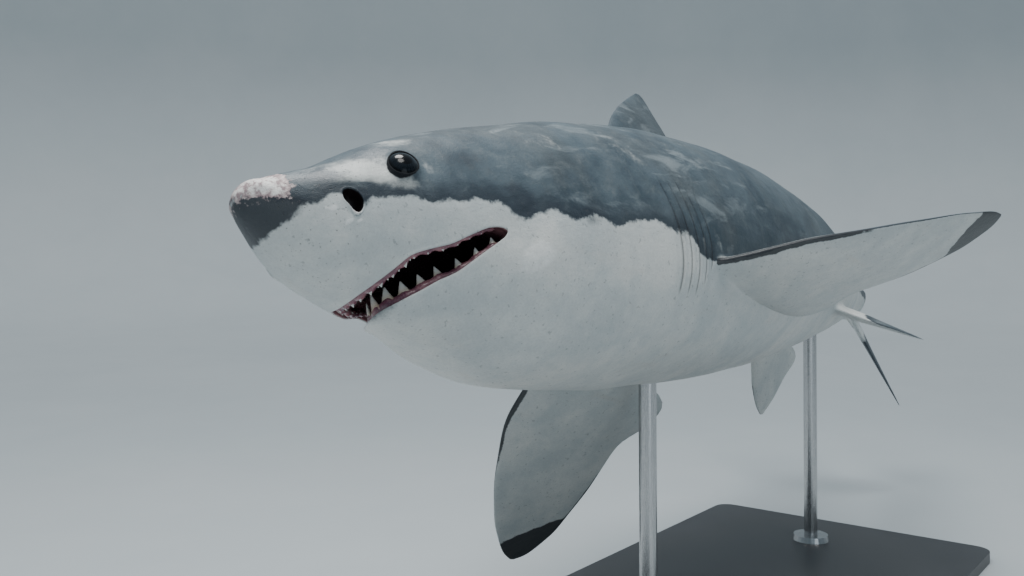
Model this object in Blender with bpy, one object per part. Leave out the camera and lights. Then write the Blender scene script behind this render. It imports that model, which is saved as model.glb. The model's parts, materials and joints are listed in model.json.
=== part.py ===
"""A great white shark at life size, as a still display model on a stand.

Two frames are used. The body frame starts at the tip of the snout: X runs
back along the animal, Y to its right and Z up, as fractions of LENGTH. An
empty banks that frame, lifts the nose and sets it over the stand. The stand
is built in the world frame, whose origin is the middle of the base's
underside, with the head towards -X.
"""
import math

import bmesh
import bpy
from mathutils import Matrix, Vector

# Driving dimensions, in metres and radians.
LENGTH = 4.1
GAP = 0.0003
NOSE_UP = math.radians(3.8)
BANK = math.radians(28.4)
AXIS_HEIGHT = 1.12
PIVOT = 1.72
BASE_SIZE = (2.5, 1.1, 0.04)
BASE_CORNER = 0.06
ROD_RADIUS = 0.025
COLLAR = (0.07, 0.02)
COLLAR_SLOPE = 0.006

# Places along the body, as fractions of LENGTH from the snout.
TAIL_BEND = 0.75
BEND_START = 0.49
HEAD_END = 0.220
GILLS_END = 0.271
TRUNK_END = 0.520
HIND_TRUNK_END = 0.705
STEM_END = 0.871
ROD_PLACES = {"front": 0.335, "rear": 0.655}
SNOUT_LIFT = (0.0088, 0.0585)

# The outline of the body: distance from the axis to the back, the belly, the
# side and, under the mouth, the lower jaw, whose front is a step.
TOP = ((0.0, 0.0), (0.012, 0.0121), (0.030, 0.0195), (0.060, 0.0346),
       (0.100, 0.0480), (0.150, 0.0575), (0.20, 0.0687), (0.25, 0.0758),
       (0.29, 0.0805), (0.36, 0.0826), (0.44, 0.0794), (0.54, 0.0670),
       (0.64, 0.0505), (0.715, 0.0375), (0.777, 0.0268), (0.818, 0.0215),
       (0.85, 0.0195), (0.88, 0.0146))
BELLY = ((0.0, 0.0), (0.012, 0.0151), (0.030, 0.0278), (0.043, 0.0317),
         (0.053, 0.0343), (0.073, 0.0429), (0.100, 0.0560), (0.150, 0.0780),
         (0.20, 0.0825), (0.25, 0.0845), (0.29, 0.0840), (0.36, 0.0832),
         (0.44, 0.0780), (0.54, 0.0655), (0.64, 0.0492), (0.715, 0.0356),
         (0.777, 0.0254), (0.818, 0.0205), (0.85, 0.0195), (0.88, 0.0146))
JAW = ((0.0, 0.0), (0.0537, 0.0320), (0.0585, 0.0425), (0.066, 0.0474),
       (0.076, 0.0508), (0.100, 0.0580), (0.150, 0.0780), (0.20, 0.0825), (0.25, 0.0845))
# The lower jaw's front is this share narrower than the snout above it, and
# widens to the snout's width between these two places.
JAW_NARROWING = 0.14
JAW_WIDENS = (0.083, 0.112)
SIDE = ((0.0, 0.0), (0.012, 0.0158), (0.030, 0.0287), (0.060, 0.0426),
        (0.100, 0.0530), (0.150, 0.0678), (0.20, 0.0740), (0.25, 0.0778),
        (0.29, 0.0795), (0.36, 0.0799), (0.44, 0.0753), (0.54, 0.0618),
        (0.64, 0.0455), (0.715, 0.0325), (0.777, 0.0241), (0.818, 0.0230),
        (0.85, 0.0251), (0.88, 0.0176))
# How square the cross-section is: 2 is an ellipse, and less is a keel.
SQUARENESS = ((0.0, 2.0), (0.10, 2.15), (0.69, 2.1), (0.79, 1.7), (0.88, 1.5))
RINGS = (0.0, 0.0015, 0.005, 0.012, 0.020, 0.030, 0.041, 0.049, 0.0537, 0.0576,
         0.065, 0.078, 0.093, 0.108, 0.128, 0.150, 0.18, HEAD_END, 0.245,
         GILLS_END, 0.31, 0.36, 0.41, 0.46, TRUNK_END, 0.57, 0.62, 0.665,
         HIND_TRUNK_END, 0.74, 0.777, 0.80, 0.818, 0.85, STEM_END)
RING_MARGIN = 0.002
SIDES = 36

# The mouth, seen from the side: how far back its front and corners are, and
# the height of each lip from the front, at 0, to the corners, at 1.
MOUTH = (0.0532, 0.1098)
LIPS = {
    "upper": ((0.0, -0.0338), (0.05, -0.0322), (0.15, -0.0286),
              (0.30, -0.0279), (0.45, -0.0275), (0.62, -0.0249),
              (0.80, -0.0228), (0.93, -0.0235), (1.0, -0.0264)),
    "lower": ((0.0, -0.0428), (0.09, -0.0444), (0.17, -0.0446), (0.30, -0.0432),
              (0.43, -0.0408), (0.57, -0.0391), (0.73, -0.0347),
              (0.90, -0.0297), (1.0, -0.0264))}
MOUTH_MARGIN = 0.012
MOUTH_STEPS = 12
CHIN_DROP = 0.004
SLAB_HALF_WIDTH = 0.11
# The teeth cross the gap between the lips: the upper ones may hang down to
# this share of it from the upper lip, and the lower ones rise up to theirs.
UPPER_JAW_ROOM = 0.88
LOWER_JAW_ROOM = 0.12
ROOM_PARTS = (0.0, 0.3, 0.6, 0.8, 0.94)
# Where the lower jaw ends behind the corners, as (distance back, down).
JAW_REAR = ((0.005, 0.012), (0.022, 0.0923))
TEETH_PER_SIDE = {"upper": 10, "lower": 7}
TEETH_REACH = {"upper": 0.86, "lower": 0.92}
TOOTH_HEIGHT = {"upper": 0.014, "lower": 0.044}
TOOTH_WIDTH = {"upper": 0.026, "lower": 0.034}
TOOTH_TAPER = 0.55
TOOTH_FLATNESS = 0.35
TOOTH_TIP = 0.0012
TOOTH_SUNK = 0.006
TOOTH_INSET = 0.0042

EYE_PLACE = (0.0618, 0.0093)
EYE_RADIUS = 0.038
EYE_SHOWS = 0.015
NOSTRIL_PLACE = (0.0358, -0.0060)
NOSTRIL_SIZE = (0.014, 0.014, 0.022)
GILL_SLITS = ((0.2335, 0.003, -0.0575), (0.2425, 0.001, -0.0580),
              (0.2510, -0.001, -0.0566), (0.2588, -0.004, -0.0527),
              (0.2660, -0.008, -0.0478))
GILL_RAKE = 0.006
SLIT_WIDTH = 0.004
SLIT_DEPTH = 0.014
SLIT_CLEAR = 0.01
SLIT_STEPS = 5
SLIT_END = 0.35

# Fins: the front edge and the rear edge, each as (height above the root,
# distance back from the fin's origin), and the thickness at root and tip as
# a fraction of the chord.
FINS = {
    "pectoral": {
        "front": ((-0.03, 0.0), (0.0, 0.0), (0.048, 0.0042), (0.107, 0.0294),
                  (0.150, 0.0564), (0.174, 0.0794), (0.179, 0.0892)),
        "rear": ((-0.03, 0.079), (0.0, 0.0795), (0.010, 0.123),
                 (0.022, 0.1345), (0.038, 0.1345), (0.064, 0.1190),
                 (0.107, 0.1215), (0.150, 0.1156), (0.174, 0.1005),
                 (0.179, 0.0901)),
        "thick": (0.105, 0.07)},
    "dorsal": {
        "front": ((-0.03, -0.025), (0.0, -0.020), (0.028, -0.002), (0.045, 0.0150),
                  (0.060, 0.0360), (0.071, 0.0560), (0.0785, 0.0705), (0.082, 0.0785)),
        "rear": ((-0.03, 0.094), (0.0, 0.0955), (0.006, 0.119),
                 (0.0117, 0.115), (0.024, 0.1015), (0.048, 0.0955),
                 (0.066, 0.0900), (0.0785, 0.0860), (0.082, 0.0815)),
        "thick": (0.10, 0.06)},
    "second_dorsal": {
        "front": ((-0.01, -0.001), (0.0, 0.0), (0.008, 0.008),
                  (0.013, 0.0137)),
        "rear": ((-0.01, 0.0117), (0.0, 0.0127), (0.0034, 0.0283),
                 (0.006, 0.0244), (0.010, 0.0185), (0.013, 0.0161)),
        "thick": (0.16, 0.12)},
    "anal": {
        "front": ((-0.01, -0.001), (0.0, 0.0), (0.008, 0.009),
                  (0.0137, 0.0156)),
        "rear": ((-0.01, 0.0117), (0.0, 0.0127), (0.0034, 0.0273),
                 (0.006, 0.0244), (0.010, 0.0200), (0.0137, 0.0180)),
        "thick": (0.16, 0.12)},
    "pelvic": {
        "front": ((-0.02, 0.0), (0.0, 0.0), (0.035, 0.016), (0.058, 0.034),
                  (0.068, 0.046)),
        "rear": ((-0.02, 0.052), (0.0, 0.054), (0.010, 0.081),
                 (0.017, 0.083), (0.030, 0.072), (0.054, 0.061),
                 (0.068, 0.050)),
        "thick": (0.11, 0.07)},
    "caudal_upper": {
        "front": ((0.0, -0.006), (0.014, -0.004), (0.03, 0.010),
                  (0.073, 0.053), (0.118, 0.104), (0.142, 0.137),
                  (0.149, 0.1475)),
        "rear": ((0.0, 0.053), (0.014, 0.0575), (0.039, 0.0715),
                 (0.078, 0.0985), (0.115, 0.130), (0.125, 0.1445),
                 (0.135, 0.1485), (0.149, 0.1505)),
        "thick": (0.13, 0.05)},
    "caudal_lower": {
        "front": ((0.0, -0.006), (0.014, -0.004), (0.03, 0.006),
                  (0.069, 0.0355), (0.103, 0.068), (0.120, 0.0895)),
        "rear": ((0.0, 0.053), (0.014, 0.0555), (0.039, 0.0615),
                 (0.078, 0.078), (0.108, 0.0925), (0.120, 0.0940)),
        "thick": (0.13, 0.05)},
}
# Where each paired fin springs from (along, aside, up), and its set: how far
# it droops, how far its rear edge is turned down, how far it sweeps back and
# how far its tip curls down.
PECTORAL_ROOT = (0.2722, 0.0654, -0.0425)
PECTORAL_SET = {"right": (0.328, 0.295, 0.025, 0.113),
                "left": (0.111, 0.217, 0.395, -0.127)}
PELVIC_ROOT = (0.528, 0.0332, -0.0488)
PELVIC_SET = (0.80, 0.10, 0.0)
DORSAL_PLACE = 0.363
SECOND_DORSAL_PLACE = 0.738
ANAL_PLACE = 0.765
CAUDAL_PLACE = 0.8447
SIDE_SIGN = {"left": -1, "right": 1}

FIN_SLICES = 11
FIN_HALF_CHORD = 7
FIN_FULLNESS = 2.6
FIN_TAPER = 0.9
EDGE_THICKNESS = 0.0016


# ---------------------------------------------------------------- curves

def curve(points):
    """Return a smooth function through the points that never overshoots."""
    xs = [p[0] for p in points]
    ys = [p[1] for p in points]
    steps = [b - a for a, b in zip(xs, xs[1:])]
    slopes = [(b - a) / h for a, b, h in zip(ys, ys[1:], steps)]
    tangents = [slopes[0]]
    for before, after, h0, h1 in zip(slopes, slopes[1:], steps, steps[1:]):
        if before * after <= 0:
            tangents.append(0.0)
            continue
        w0 = 2 * h1 + h0
        w1 = h1 + 2 * h0
        tangents.append((w0 + w1) / (w0 / before + w1 / after))
    tangents.append(slopes[-1])

    def value(x):
        x = min(max(x, xs[0]), xs[-1])
        i = max(j for j in range(len(steps)) if xs[j] <= x)
        t = (x - xs[i]) / steps[i]
        bend = (1 - t) * tangents[i] * (1 - t) - t * tangents[i + 1] * t
        return (ys[i] * (1 + 2 * t) * (1 - t) ** 2
                + ys[i + 1] * t * t * (3 - 2 * t)
                + steps[i] * t * (1 - t) * bend)

    return value


def rounded_curve(points):
    """A curve whose first point is a round tip, not a cone's."""
    inner = curve([(math.sqrt(x), y) for x, y in points])
    return lambda x: inner(math.sqrt(x))


top_of = rounded_curve(TOP)
belly_of = rounded_curve(BELLY)
jaw_of = rounded_curve(JAW)
side_of = rounded_curve(SIDE)
squareness_of = curve(SQUARENESS)
lip_of = {jaw: curve(points) for jaw, points in LIPS.items()}


def spine(along):
    """Return the axis point and its heading, with the tail's gentle sweep."""
    lift, faded = SNOUT_LIFT
    rise = lift * max(0.0, 1 - along / faded) ** 2
    past = max(0.0, along - BEND_START)
    heading = TAIL_BEND * past
    if heading < 1e-9:
        return Vector((along, 0.0, rise)), 0.0
    radius = 1 / TAIL_BEND
    point = Vector((BEND_START + radius * math.sin(heading),
                    radius * (1 - math.cos(heading)), rise))
    return point, heading


def ease(x, start, end):
    """Rises smoothly from 0 at the start to 1 at the end."""
    t = min(1.0, max(0.0, (x - start) / (end - start)))
    return t * t * (3 - 2 * t)


def narrowing(along, sine):
    """The share by which the lower jaw's front is narrower than the snout."""
    fade = 1 - ease(along, *JAW_WIDENS)
    return JAW_NARROWING * fade * ease(-sine, 0.35, 0.75)


def body_point(along, angle, swell=0.0, under=belly_of):
    """A point of the skin in metres; angle 0 is the right side, up positive."""
    centre, heading = spine(along)
    power = 2 / squareness_of(along)
    c = math.cos(angle)
    s = math.sin(angle)
    across = math.copysign(abs(c) ** power, c)
    upward = math.copysign(abs(s) ** power, s)
    height = top_of(along) if upward > 0 else under(along)
    if under is jaw_of:
        across *= 1 - narrowing(along, s)
    across *= side_of(along) + swell / LENGTH
    upward *= height + swell / LENGTH
    out = Vector((-math.sin(heading) * across, math.cos(heading) * across, upward))
    return (centre + out) * LENGTH


def angle_at(along, up):
    """The ring angle at which the right side of the body has this height."""
    height = top_of(along) if up > 0 else belly_of(along)
    rise = spine(along)[0].z
    sine = min(1.0, abs(up - rise) / height) ** (squareness_of(along) / 2)
    return math.copysign(math.asin(sine), up - rise)


# --------------------------------------------------------------- objects

def clear_scene():
    for item in list(bpy.data.objects):
        bpy.data.objects.remove(item, do_unlink=True)


def material(name, colour, roughness, metallic=0.0):
    new = bpy.data.materials.new(name)
    new.use_nodes = True
    shader = new.node_tree.nodes["Principled BSDF"]
    shader.inputs["Base Color"].default_value = (*colour, 1.0)
    shader.inputs["Roughness"].default_value = roughness
    shader.inputs["Metallic"].default_value = metallic
    return new


def add_object(name, mesh, finish=None, parent=None, smooth=True):
    obj = bpy.data.objects.new(name, mesh)
    bpy.context.collection.objects.link(obj)
    obj.parent = parent
    if finish:
        mesh.materials.append(finish)
    if smooth:
        mesh.shade_smooth()
        mesh.set_sharp_from_angle(angle=math.radians(40))
    return obj


def mesh_from(bm, name):
    bmesh.ops.recalc_face_normals(bm, faces=bm.faces)
    mesh = bpy.data.meshes.new(name)
    bm.to_mesh(mesh)
    bm.free()
    return mesh


def tube_mesh(name, around, rows, point):
    """A closed skin: a grid rolled up, its seam welded and its ends capped.

    point(column, row) gives the place of each of the around x rows points.
    """
    bm = bmesh.new()
    bmesh.ops.create_grid(bm, x_segments=around, y_segments=rows - 1, size=0.5)
    for vert in bm.verts:
        column = round((vert.co.x + 0.5) * around) % around
        row = round((vert.co.y + 0.5) * (rows - 1))
        vert.co = point(column, row)
    bmesh.ops.remove_doubles(bm, verts=bm.verts, dist=1e-6)
    loose = [edge for edge in bm.edges if edge.is_boundary]
    bmesh.ops.holes_fill(bm, edges=loose, sides=0)
    return mesh_from(bm, name)


def as_cutter(obj):
    obj.hide_render = True
    obj.display_type = "WIRE"
    return obj


def boolean(obj, other, operation="DIFFERENCE", overlaps_itself=False):
    modifier = obj.modifiers.new(operation.title(), "BOOLEAN")
    modifier.object = other
    modifier.operation = operation
    modifier.solver = "EXACT"
    modifier.use_self = overlaps_itself


def body_mesh(name, start, end, swell=0.0, under=belly_of):
    """The body between two stations, with the rings that lie between them."""
    after = start + RING_MARGIN if start else 0.0
    rings = [start, *[r for r in RINGS if after < r < end - RING_MARGIN], end]

    def point(column, row):
        angle = 2 * math.pi * (column + 0.5) / SIDES
        return body_point(rings[row], angle, swell if row else 0.0, under)

    return tube_mesh(name, SIDES, len(rings), point)


# ------------------------------------------------------------------ head

def mouth_x(part):
    """Part 0 is the front of the mouth and part 1 its corners."""
    return MOUTH[0] + part * (MOUTH[1] - MOUTH[0])


def slab_mesh(name, outline, half_width):
    """A plate with this X-Z outline, in fractions of LENGTH, across Y."""
    bm = bmesh.new()
    corners = [bm.verts.new(Vector((x, -half_width, z)) * LENGTH) for x, z in outline]
    face = bm.faces.new(corners)
    grown = bmesh.ops.extrude_face_region(bm, geom=[face])["geom"]
    moved = [item for item in grown if isinstance(item, bmesh.types.BMVert)]
    bmesh.ops.translate(bm, verts=moved, vec=(0, 2 * half_width * LENGTH, 0))
    return mesh_from(bm, name)


def mouth_outline():
    """The opening between the jaws, seen from the side."""
    ahead = MOUTH[0] - MOUTH_MARGIN
    parts = [i / MOUTH_STEPS for i in range(MOUTH_STEPS + 1)]
    roof = [(mouth_x(p), lip_of["upper"](p)) for p in parts]
    floor = [(mouth_x(p), lip_of["lower"](p)) for p in reversed(parts[:-1])]
    front = [(ahead, lip_of["lower"](0) - CHIN_DROP),
             (ahead, lip_of["upper"](0) - CHIN_DROP / 2)]
    return roof + floor + front


def jaw_outline(depth, shift):
    """The room of the lower jaw, from the side.

    Its upper edge runs through the opening, at this depth from 0 to 1 between
    the jaws, and shift moves its rear edge back.
    """
    ahead = MOUTH[0] - MOUTH_MARGIN
    between = []
    for part in ROOM_PARTS:
        level = depth if part < ROOM_PARTS[-1] else 0.5
        high = lip_of["upper"](part)
        between.append((mouth_x(part), high + level * (lip_of["lower"](part) - high)))
    x, z = between[-1]
    rear = [(x + shift + back, z - down) for back, down in JAW_REAR]
    return [(ahead, between[0][1]), *between, *rear, (ahead, rear[-1][1])]


def rim_place(jaw, share):
    """The jaw's rim on the right side, and its outward direction from above.

    Share 0 is the front of the mouth and 1 its corner, along the rim.
    """
    rim = []
    for i in range(201):
        part = (i / 200) ** 2
        along = mouth_x(part)
        height = lip_of[jaw](part)
        level = abs(height) / (jaw_of if jaw == "lower" else belly_of)(along)
        if level < 1:
            power = squareness_of(along)
            across = side_of(along) * (1 - level ** power) ** (1 / power)
            if jaw == "lower":
                across *= 1 - narrowing(along, -1)
            rim.append(Vector((along, across, height)))
    rim.insert(0, Vector((rim[0].x - 0.0002, 0.0, rim[0].z)))
    walked = [0.0]
    for before, after in zip(rim, rim[1:]):
        walked.append(walked[-1] + (after - before).length)
    target = share * walked[-1]
    i = max(j for j in range(len(walked) - 1) if walked[j] <= target)
    step = rim[i + 1] - rim[i]
    place = rim[i] + step * ((target - walked[i]) / step.length)
    return place, Vector((-step.y, step.x, 0)).normalized()


def tooth_rows(jaw):
    """Flat pointed teeth that stand along the rim of one jaw."""
    bm = bmesh.new()
    upward = 1 if jaw == "lower" else -1
    for side in (-1, 1):
        for i in range(TEETH_PER_SIDE[jaw]):
            share = (i + 0.5) / TEETH_PER_SIDE[jaw]
            size = 1 - TOOTH_TAPER * share
            rim, out = rim_place(jaw, share * TEETH_REACH[jaw])
            flip = Vector((1, side, 1))
            out *= flip
            place = rim * flip - out * TOOTH_INSET
            place.z = lip_of[jaw]((place.x - MOUTH[0]) / (MOUTH[1] - MOUTH[0]))
            place *= LENGTH
            sunk = Matrix.Translation(place - Vector((0, 0, upward * TOOTH_SUNK)))
            turn = Matrix.Rotation(math.atan2(out.y, out.x), 4, "Z")
            height = TOOTH_HEIGHT[jaw] * size + TOOTH_SUNK
            lift = Matrix.Translation((0, 0, upward * height / 2))
            shape = Matrix.Diagonal((TOOTH_FLATNESS, 1.0, upward, 1.0))
            bmesh.ops.create_cone(
                bm, cap_ends=True, segments=6, radius1=TOOTH_WIDTH[jaw] * size / 2,
                radius2=TOOTH_TIP, depth=height, matrix=sunk @ turn @ lift @ shape)
    return mesh_from(bm, "teeth")


def ball_mesh(name, radius, place, stretch=(1, 1, 1), detail=(20, 12)):
    bm = bmesh.new()
    bmesh.ops.create_uvsphere(bm, u_segments=detail[0], v_segments=detail[1],
                              radius=radius)
    bmesh.ops.scale(bm, vec=stretch, verts=bm.verts)
    bmesh.ops.translate(bm, vec=place, verts=bm.verts)
    return mesh_from(bm, name)


def on_skin(place, side):
    """A point of the skin and its outward direction, in metres."""
    along, up = place
    angle = angle_at(along, up)
    here = body_point(along, angle)
    ahead = body_point(along - 0.004, angle) - here
    above = body_point(along, angle + 0.05) - here
    out = above.cross(ahead).normalized()
    if out.y < 0:
        out = -out
    flip = Vector((1, side, 1))
    return here * flip, out * flip


def build_head(pose, finishes):
    stem = body_mesh("head", 0.0, HEAD_END - GAP / LENGTH / 2)
    head = add_object("head", stem, finishes["skin"], pose)
    jaw_stem = body_mesh("lower_jaw", 0.0, HEAD_END - GAP / LENGTH / 2, 0.0, jaw_of)
    jaw = add_object("lower_jaw", jaw_stem, finishes["skin"], pose)

    for owner, row, depth, shift, operation in (
            (head, "upper", UPPER_JAW_ROOM, GAP / LENGTH, "DIFFERENCE"),
            (jaw, "lower", LOWER_JAW_ROOM, 0.0, "INTERSECT")):
        room = add_object("guide_room_" + row, slab_mesh(
            "room", jaw_outline(depth, shift), SLAB_HALF_WIDTH), None, pose, False)
        mouth = add_object("guide_mouth_" + row, slab_mesh(
            "mouth", mouth_outline(), SLAB_HALF_WIDTH), None, pose, False)
        teeth = add_object("guide_teeth_" + row, tooth_rows(row), None, pose, False)
        boolean(as_cutter(mouth), as_cutter(teeth), overlaps_itself=True)
        boolean(owner, as_cutter(room), operation)
        boolean(owner, mouth)

    for side_name, side in SIDE_SIGN.items():
        skin, out = on_skin(EYE_PLACE, side)
        centre = skin - out * (EYE_RADIUS - EYE_SHOWS)
        ball = ball_mesh("eye", EYE_RADIUS, centre)
        add_object("eye_" + side_name, ball, finishes["eye"], pose)
        socket = ball_mesh("socket", EYE_RADIUS + GAP, centre)
        boolean(head, as_cutter(add_object("guide_socket_" + side_name, socket,
                                           None, pose, False)))
        skin, out = on_skin(NOSTRIL_PLACE, side)
        hole = ball_mesh("nostril", 1.0, skin, NOSTRIL_SIZE, (10, 6))
        boolean(head, as_cutter(add_object("guide_nostril_" + side_name, hole,
                                           None, pose, False)))


def build_gills(pose, finishes):
    half_gap = GAP / LENGTH / 2
    mesh = body_mesh("gill_region", HEAD_END + half_gap, GILLS_END - half_gap)
    gills = add_object("gill_region", mesh, finishes["skin"], pose)
    bm = bmesh.new()
    for side in SIDE_SIGN.values():
        for along, high, low in GILL_SLITS:
            rows = []
            for i in range(SLIT_STEPS + 1):
                part = i / SLIT_STEPS
                here = along + GILL_RAKE * (part - 0.5)
                skin, out = on_skin((here, high + part * (low - high)), side)
                taper = SLIT_END + (1 - SLIT_END) * math.sin(math.pi * part)
                half = Vector((SLIT_WIDTH / 2 * taper, 0, 0))
                clear = skin + out * SLIT_CLEAR
                deep = skin - out * SLIT_DEPTH * taper
                rows.append((clear - half, clear + half, deep + half, deep - half))
            loops = [[bm.verts.new(place) for place in row] for row in rows]
            for row, following in zip(loops, loops[1:]):
                for i in range(4):
                    j = (i + 1) % 4
                    bm.faces.new((row[i], row[j], following[j], following[i]))
            bm.faces.new(loops[0])
            bm.faces.new(loops[-1])
    slits = add_object("guide_gill_slits", mesh_from(bm, "slits"), None, pose, False)
    boolean(gills, as_cutter(slits))


# ------------------------------------------------------------------ fins

def fin_mesh(name, shape, frame, curl=0.0):
    """A fin from its outline: thin rounded sections from root to tip.

    frame carries (back, aside, out) of the fin, in fractions of LENGTH, to
    the body frame in metres.
    """
    front = curve(shape["front"])
    rear = curve(shape["rear"])
    high = shape["front"][-1][0]
    around = 2 * FIN_HALF_CHORD
    marks = sorted({p[0] for p in shape["rear"]} | {p[0] for p in shape["front"]})
    while len(marks) < FIN_SLICES:
        widest = max(range(len(marks) - 1), key=lambda k: marks[k + 1] - marks[k])
        marks.insert(widest + 1, (marks[widest] + marks[widest + 1]) / 2)
    edge = EDGE_THICKNESS / LENGTH / 2

    def point(column, row):
        out = marks[row]
        chord = rear(out) - front(out)
        share = max(0.0, out) / high
        thick = shape["thick"][0] * (1 - share) + shape["thick"][1] * share
        upper = column < FIN_HALF_CHORD
        step = column if upper else around - 1 - column
        back = (1 - math.cos(math.pi * (step + 0.5) / FIN_HALF_CHORD)) / 2
        bulge = FIN_FULLNESS * math.sqrt(back) * (1 - back) ** FIN_TAPER
        bulge *= thick * chord / 2
        aside = bulge + edge if upper else -bulge - edge
        aside -= curl * max(0.0, out) ** 2 / high
        return frame @ Vector((front(out) + back * chord, aside, out))

    return tube_mesh(name, around, len(marks), point)


def set_frame(root, back, aside, out):
    """The matrix from a fin's own axes to the body frame in metres."""
    turn = Matrix((back, aside, out)).transposed().to_4x4()
    return (Matrix.Diagonal((LENGTH, LENGTH, LENGTH, 1.0))
            @ Matrix.Translation(root) @ turn)


def paired_frame(root, side, droop, pitch, sweep):
    """The frame of a pectoral or pelvic fin."""
    x = Vector((1, 0, 0))
    out = Vector((0, side * math.cos(droop), -math.sin(droop)))
    normal = Vector((0, side * math.sin(droop), math.cos(droop)))
    back = math.cos(pitch) * x - math.sin(pitch) * normal
    lift = math.sin(pitch) * x + math.cos(pitch) * normal
    swept_back = math.cos(sweep) * back - math.sin(sweep) * out
    swept_out = math.sin(sweep) * back + math.cos(sweep) * out
    along, aside, up = root
    return set_frame(Vector((along, side * aside, up)), swept_back, lift, swept_out)


def middle_frame(along, up, direction):
    """The frame of a fin in the middle plane, pointing up (1) or down (-1)."""
    centre, heading = spine(along)
    back = Vector((math.cos(heading), math.sin(heading), 0))
    aside = Vector((-math.sin(heading), math.cos(heading), 0))
    return set_frame(centre + Vector((0, 0, up)), back, aside,
                     Vector((0, 0, direction)))


def build_fins(pose, finishes, body_guide):
    frames = {
        "dorsal_fin": ("dorsal", middle_frame(
            DORSAL_PLACE, top_of(DORSAL_PLACE + 0.04) - 0.003, 1)),
        "second_dorsal_fin": ("second_dorsal", middle_frame(
            SECOND_DORSAL_PLACE, top_of(SECOND_DORSAL_PLACE + 0.005), 1)),
        "anal_fin": ("anal", middle_frame(
            ANAL_PLACE, -belly_of(ANAL_PLACE + 0.005), -1)),
        "caudal_fin_upper": ("caudal_upper", middle_frame(
            CAUDAL_PLACE, GAP / LENGTH / 2, 1)),
        "caudal_fin_lower": ("caudal_lower", middle_frame(
            CAUDAL_PLACE, -GAP / LENGTH / 2, -1)),
    }
    curl = {}
    for side_name, side in SIDE_SIGN.items():
        *fin_set, curl[side_name] = PECTORAL_SET[side_name]
        frames["pectoral_fin_" + side_name] = ("pectoral", paired_frame(
            PECTORAL_ROOT, side, *fin_set))
        frames["pelvic_fin_" + side_name] = ("pelvic", paired_frame(
            PELVIC_ROOT, side, *PELVIC_SET))
    for name, (kind, frame) in frames.items():
        bend = curl[name.split("_")[-1]] if kind == "pectoral" else 0.0
        mesh = fin_mesh(name, FINS[kind], frame, bend)
        boolean(add_object(name, mesh, finishes["skin"], pose), body_guide)


# ----------------------------------------------------------------- stand

def pose_matrix():
    return (Matrix.Translation((0, 0, AXIS_HEIGHT))
            @ Matrix.Rotation(NOSE_UP, 4, "Y") @ Matrix.Rotation(-BANK, 4, "X")
            @ Matrix.Translation((-PIVOT, 0, 0)))


def build_stand(finishes, body_guide):
    length, width, height = BASE_SIZE
    bm = bmesh.new()
    bmesh.ops.create_cube(bm, size=1)
    bmesh.ops.scale(bm, vec=BASE_SIZE, verts=bm.verts)
    bmesh.ops.translate(bm, vec=(0, 0, height / 2), verts=bm.verts)
    upright = [e for e in bm.edges
               if abs(e.verts[0].co.z - e.verts[1].co.z) > height / 2]
    bmesh.ops.bevel(bm, geom=upright, offset=BASE_CORNER, segments=6, profile=0.5,
                    affect="EDGES")
    add_object("stand_base", mesh_from(bm, "stand_base"), finishes["base"])

    for name, along in ROD_PLACES.items():
        foot = pose_matrix() @ (spine(along)[0] * LENGTH)
        collar_radius, collar_height = COLLAR
        floor = height + GAP
        bm = bmesh.new()
        bmesh.ops.create_cone(
            bm, cap_ends=True, segments=32, radius1=collar_radius,
            radius2=collar_radius - COLLAR_SLOPE, depth=collar_height,
            matrix=Matrix.Translation((foot.x, foot.y, floor + collar_height / 2)))
        add_object("stand_collar_" + name, mesh_from(bm, "collar"),
                   finishes["steel"])
        floor += collar_height + GAP
        bm = bmesh.new()
        bmesh.ops.create_cone(
            bm, cap_ends=True, segments=28, radius1=ROD_RADIUS, radius2=ROD_RADIUS,
            depth=foot.z - floor,
            matrix=Matrix.Translation((foot.x, foot.y, (floor + foot.z) / 2)))
        rod = add_object("stand_rod_" + name, mesh_from(bm, "rod"), finishes["steel"])
        boolean(rod, body_guide)


def main():
    clear_scene()
    finishes = {
        "skin": material("shark_skin", (0.10, 0.14, 0.17), 0.45),
        "eye": material("shark_eye", (0.01, 0.01, 0.012), 0.05),
        "base": material("stand_paint", (0.05, 0.05, 0.055), 0.4),
        "steel": material("stand_steel", (0.55, 0.55, 0.56), 0.3, 1.0),
    }
    pose = bpy.data.objects.new("shark_pose", None)
    bpy.context.collection.objects.link(pose)
    pose.matrix_world = pose_matrix()

    body_guide = as_cutter(add_object(
        "guide_body", body_mesh("guide_body", 0.0, STEM_END + GAP / LENGTH, GAP),
        None, pose, False))
    half_gap = GAP / LENGTH / 2
    for name, start, end in (("trunk", GILLS_END, TRUNK_END),
                             ("hind_trunk", TRUNK_END, HIND_TRUNK_END),
                             ("tail_stem", HIND_TRUNK_END, STEM_END + half_gap)):
        mesh = body_mesh(name, start + half_gap, end - half_gap)
        add_object(name, mesh, finishes["skin"], pose)
    build_head(pose, finishes)
    build_gills(pose, finishes)
    build_fins(pose, finishes, body_guide)
    build_stand(finishes, body_guide)


main()
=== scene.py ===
"""The looks of the great white shark model: one skin over the whole animal,
its eyes, gums and teeth, and the finishes of its stand.

Places on the animal are given in the body frame: fractions of LENGTH from the
tip of the snout, X back, Y to the right and Z up. pose_matrix() banks that
frame and sets it over the stand. A place on the skin is (along, angle): angle
0 is the right side, a quarter turn is the back, and half a turn is the left.
"""

import json
import random
from math import asin, atan2, copysign, cos, exp, hypot, pi, radians, sin, sqrt

import bmesh
import bpy
import numpy as np
from mathutils import Matrix, Vector, noise

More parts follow.
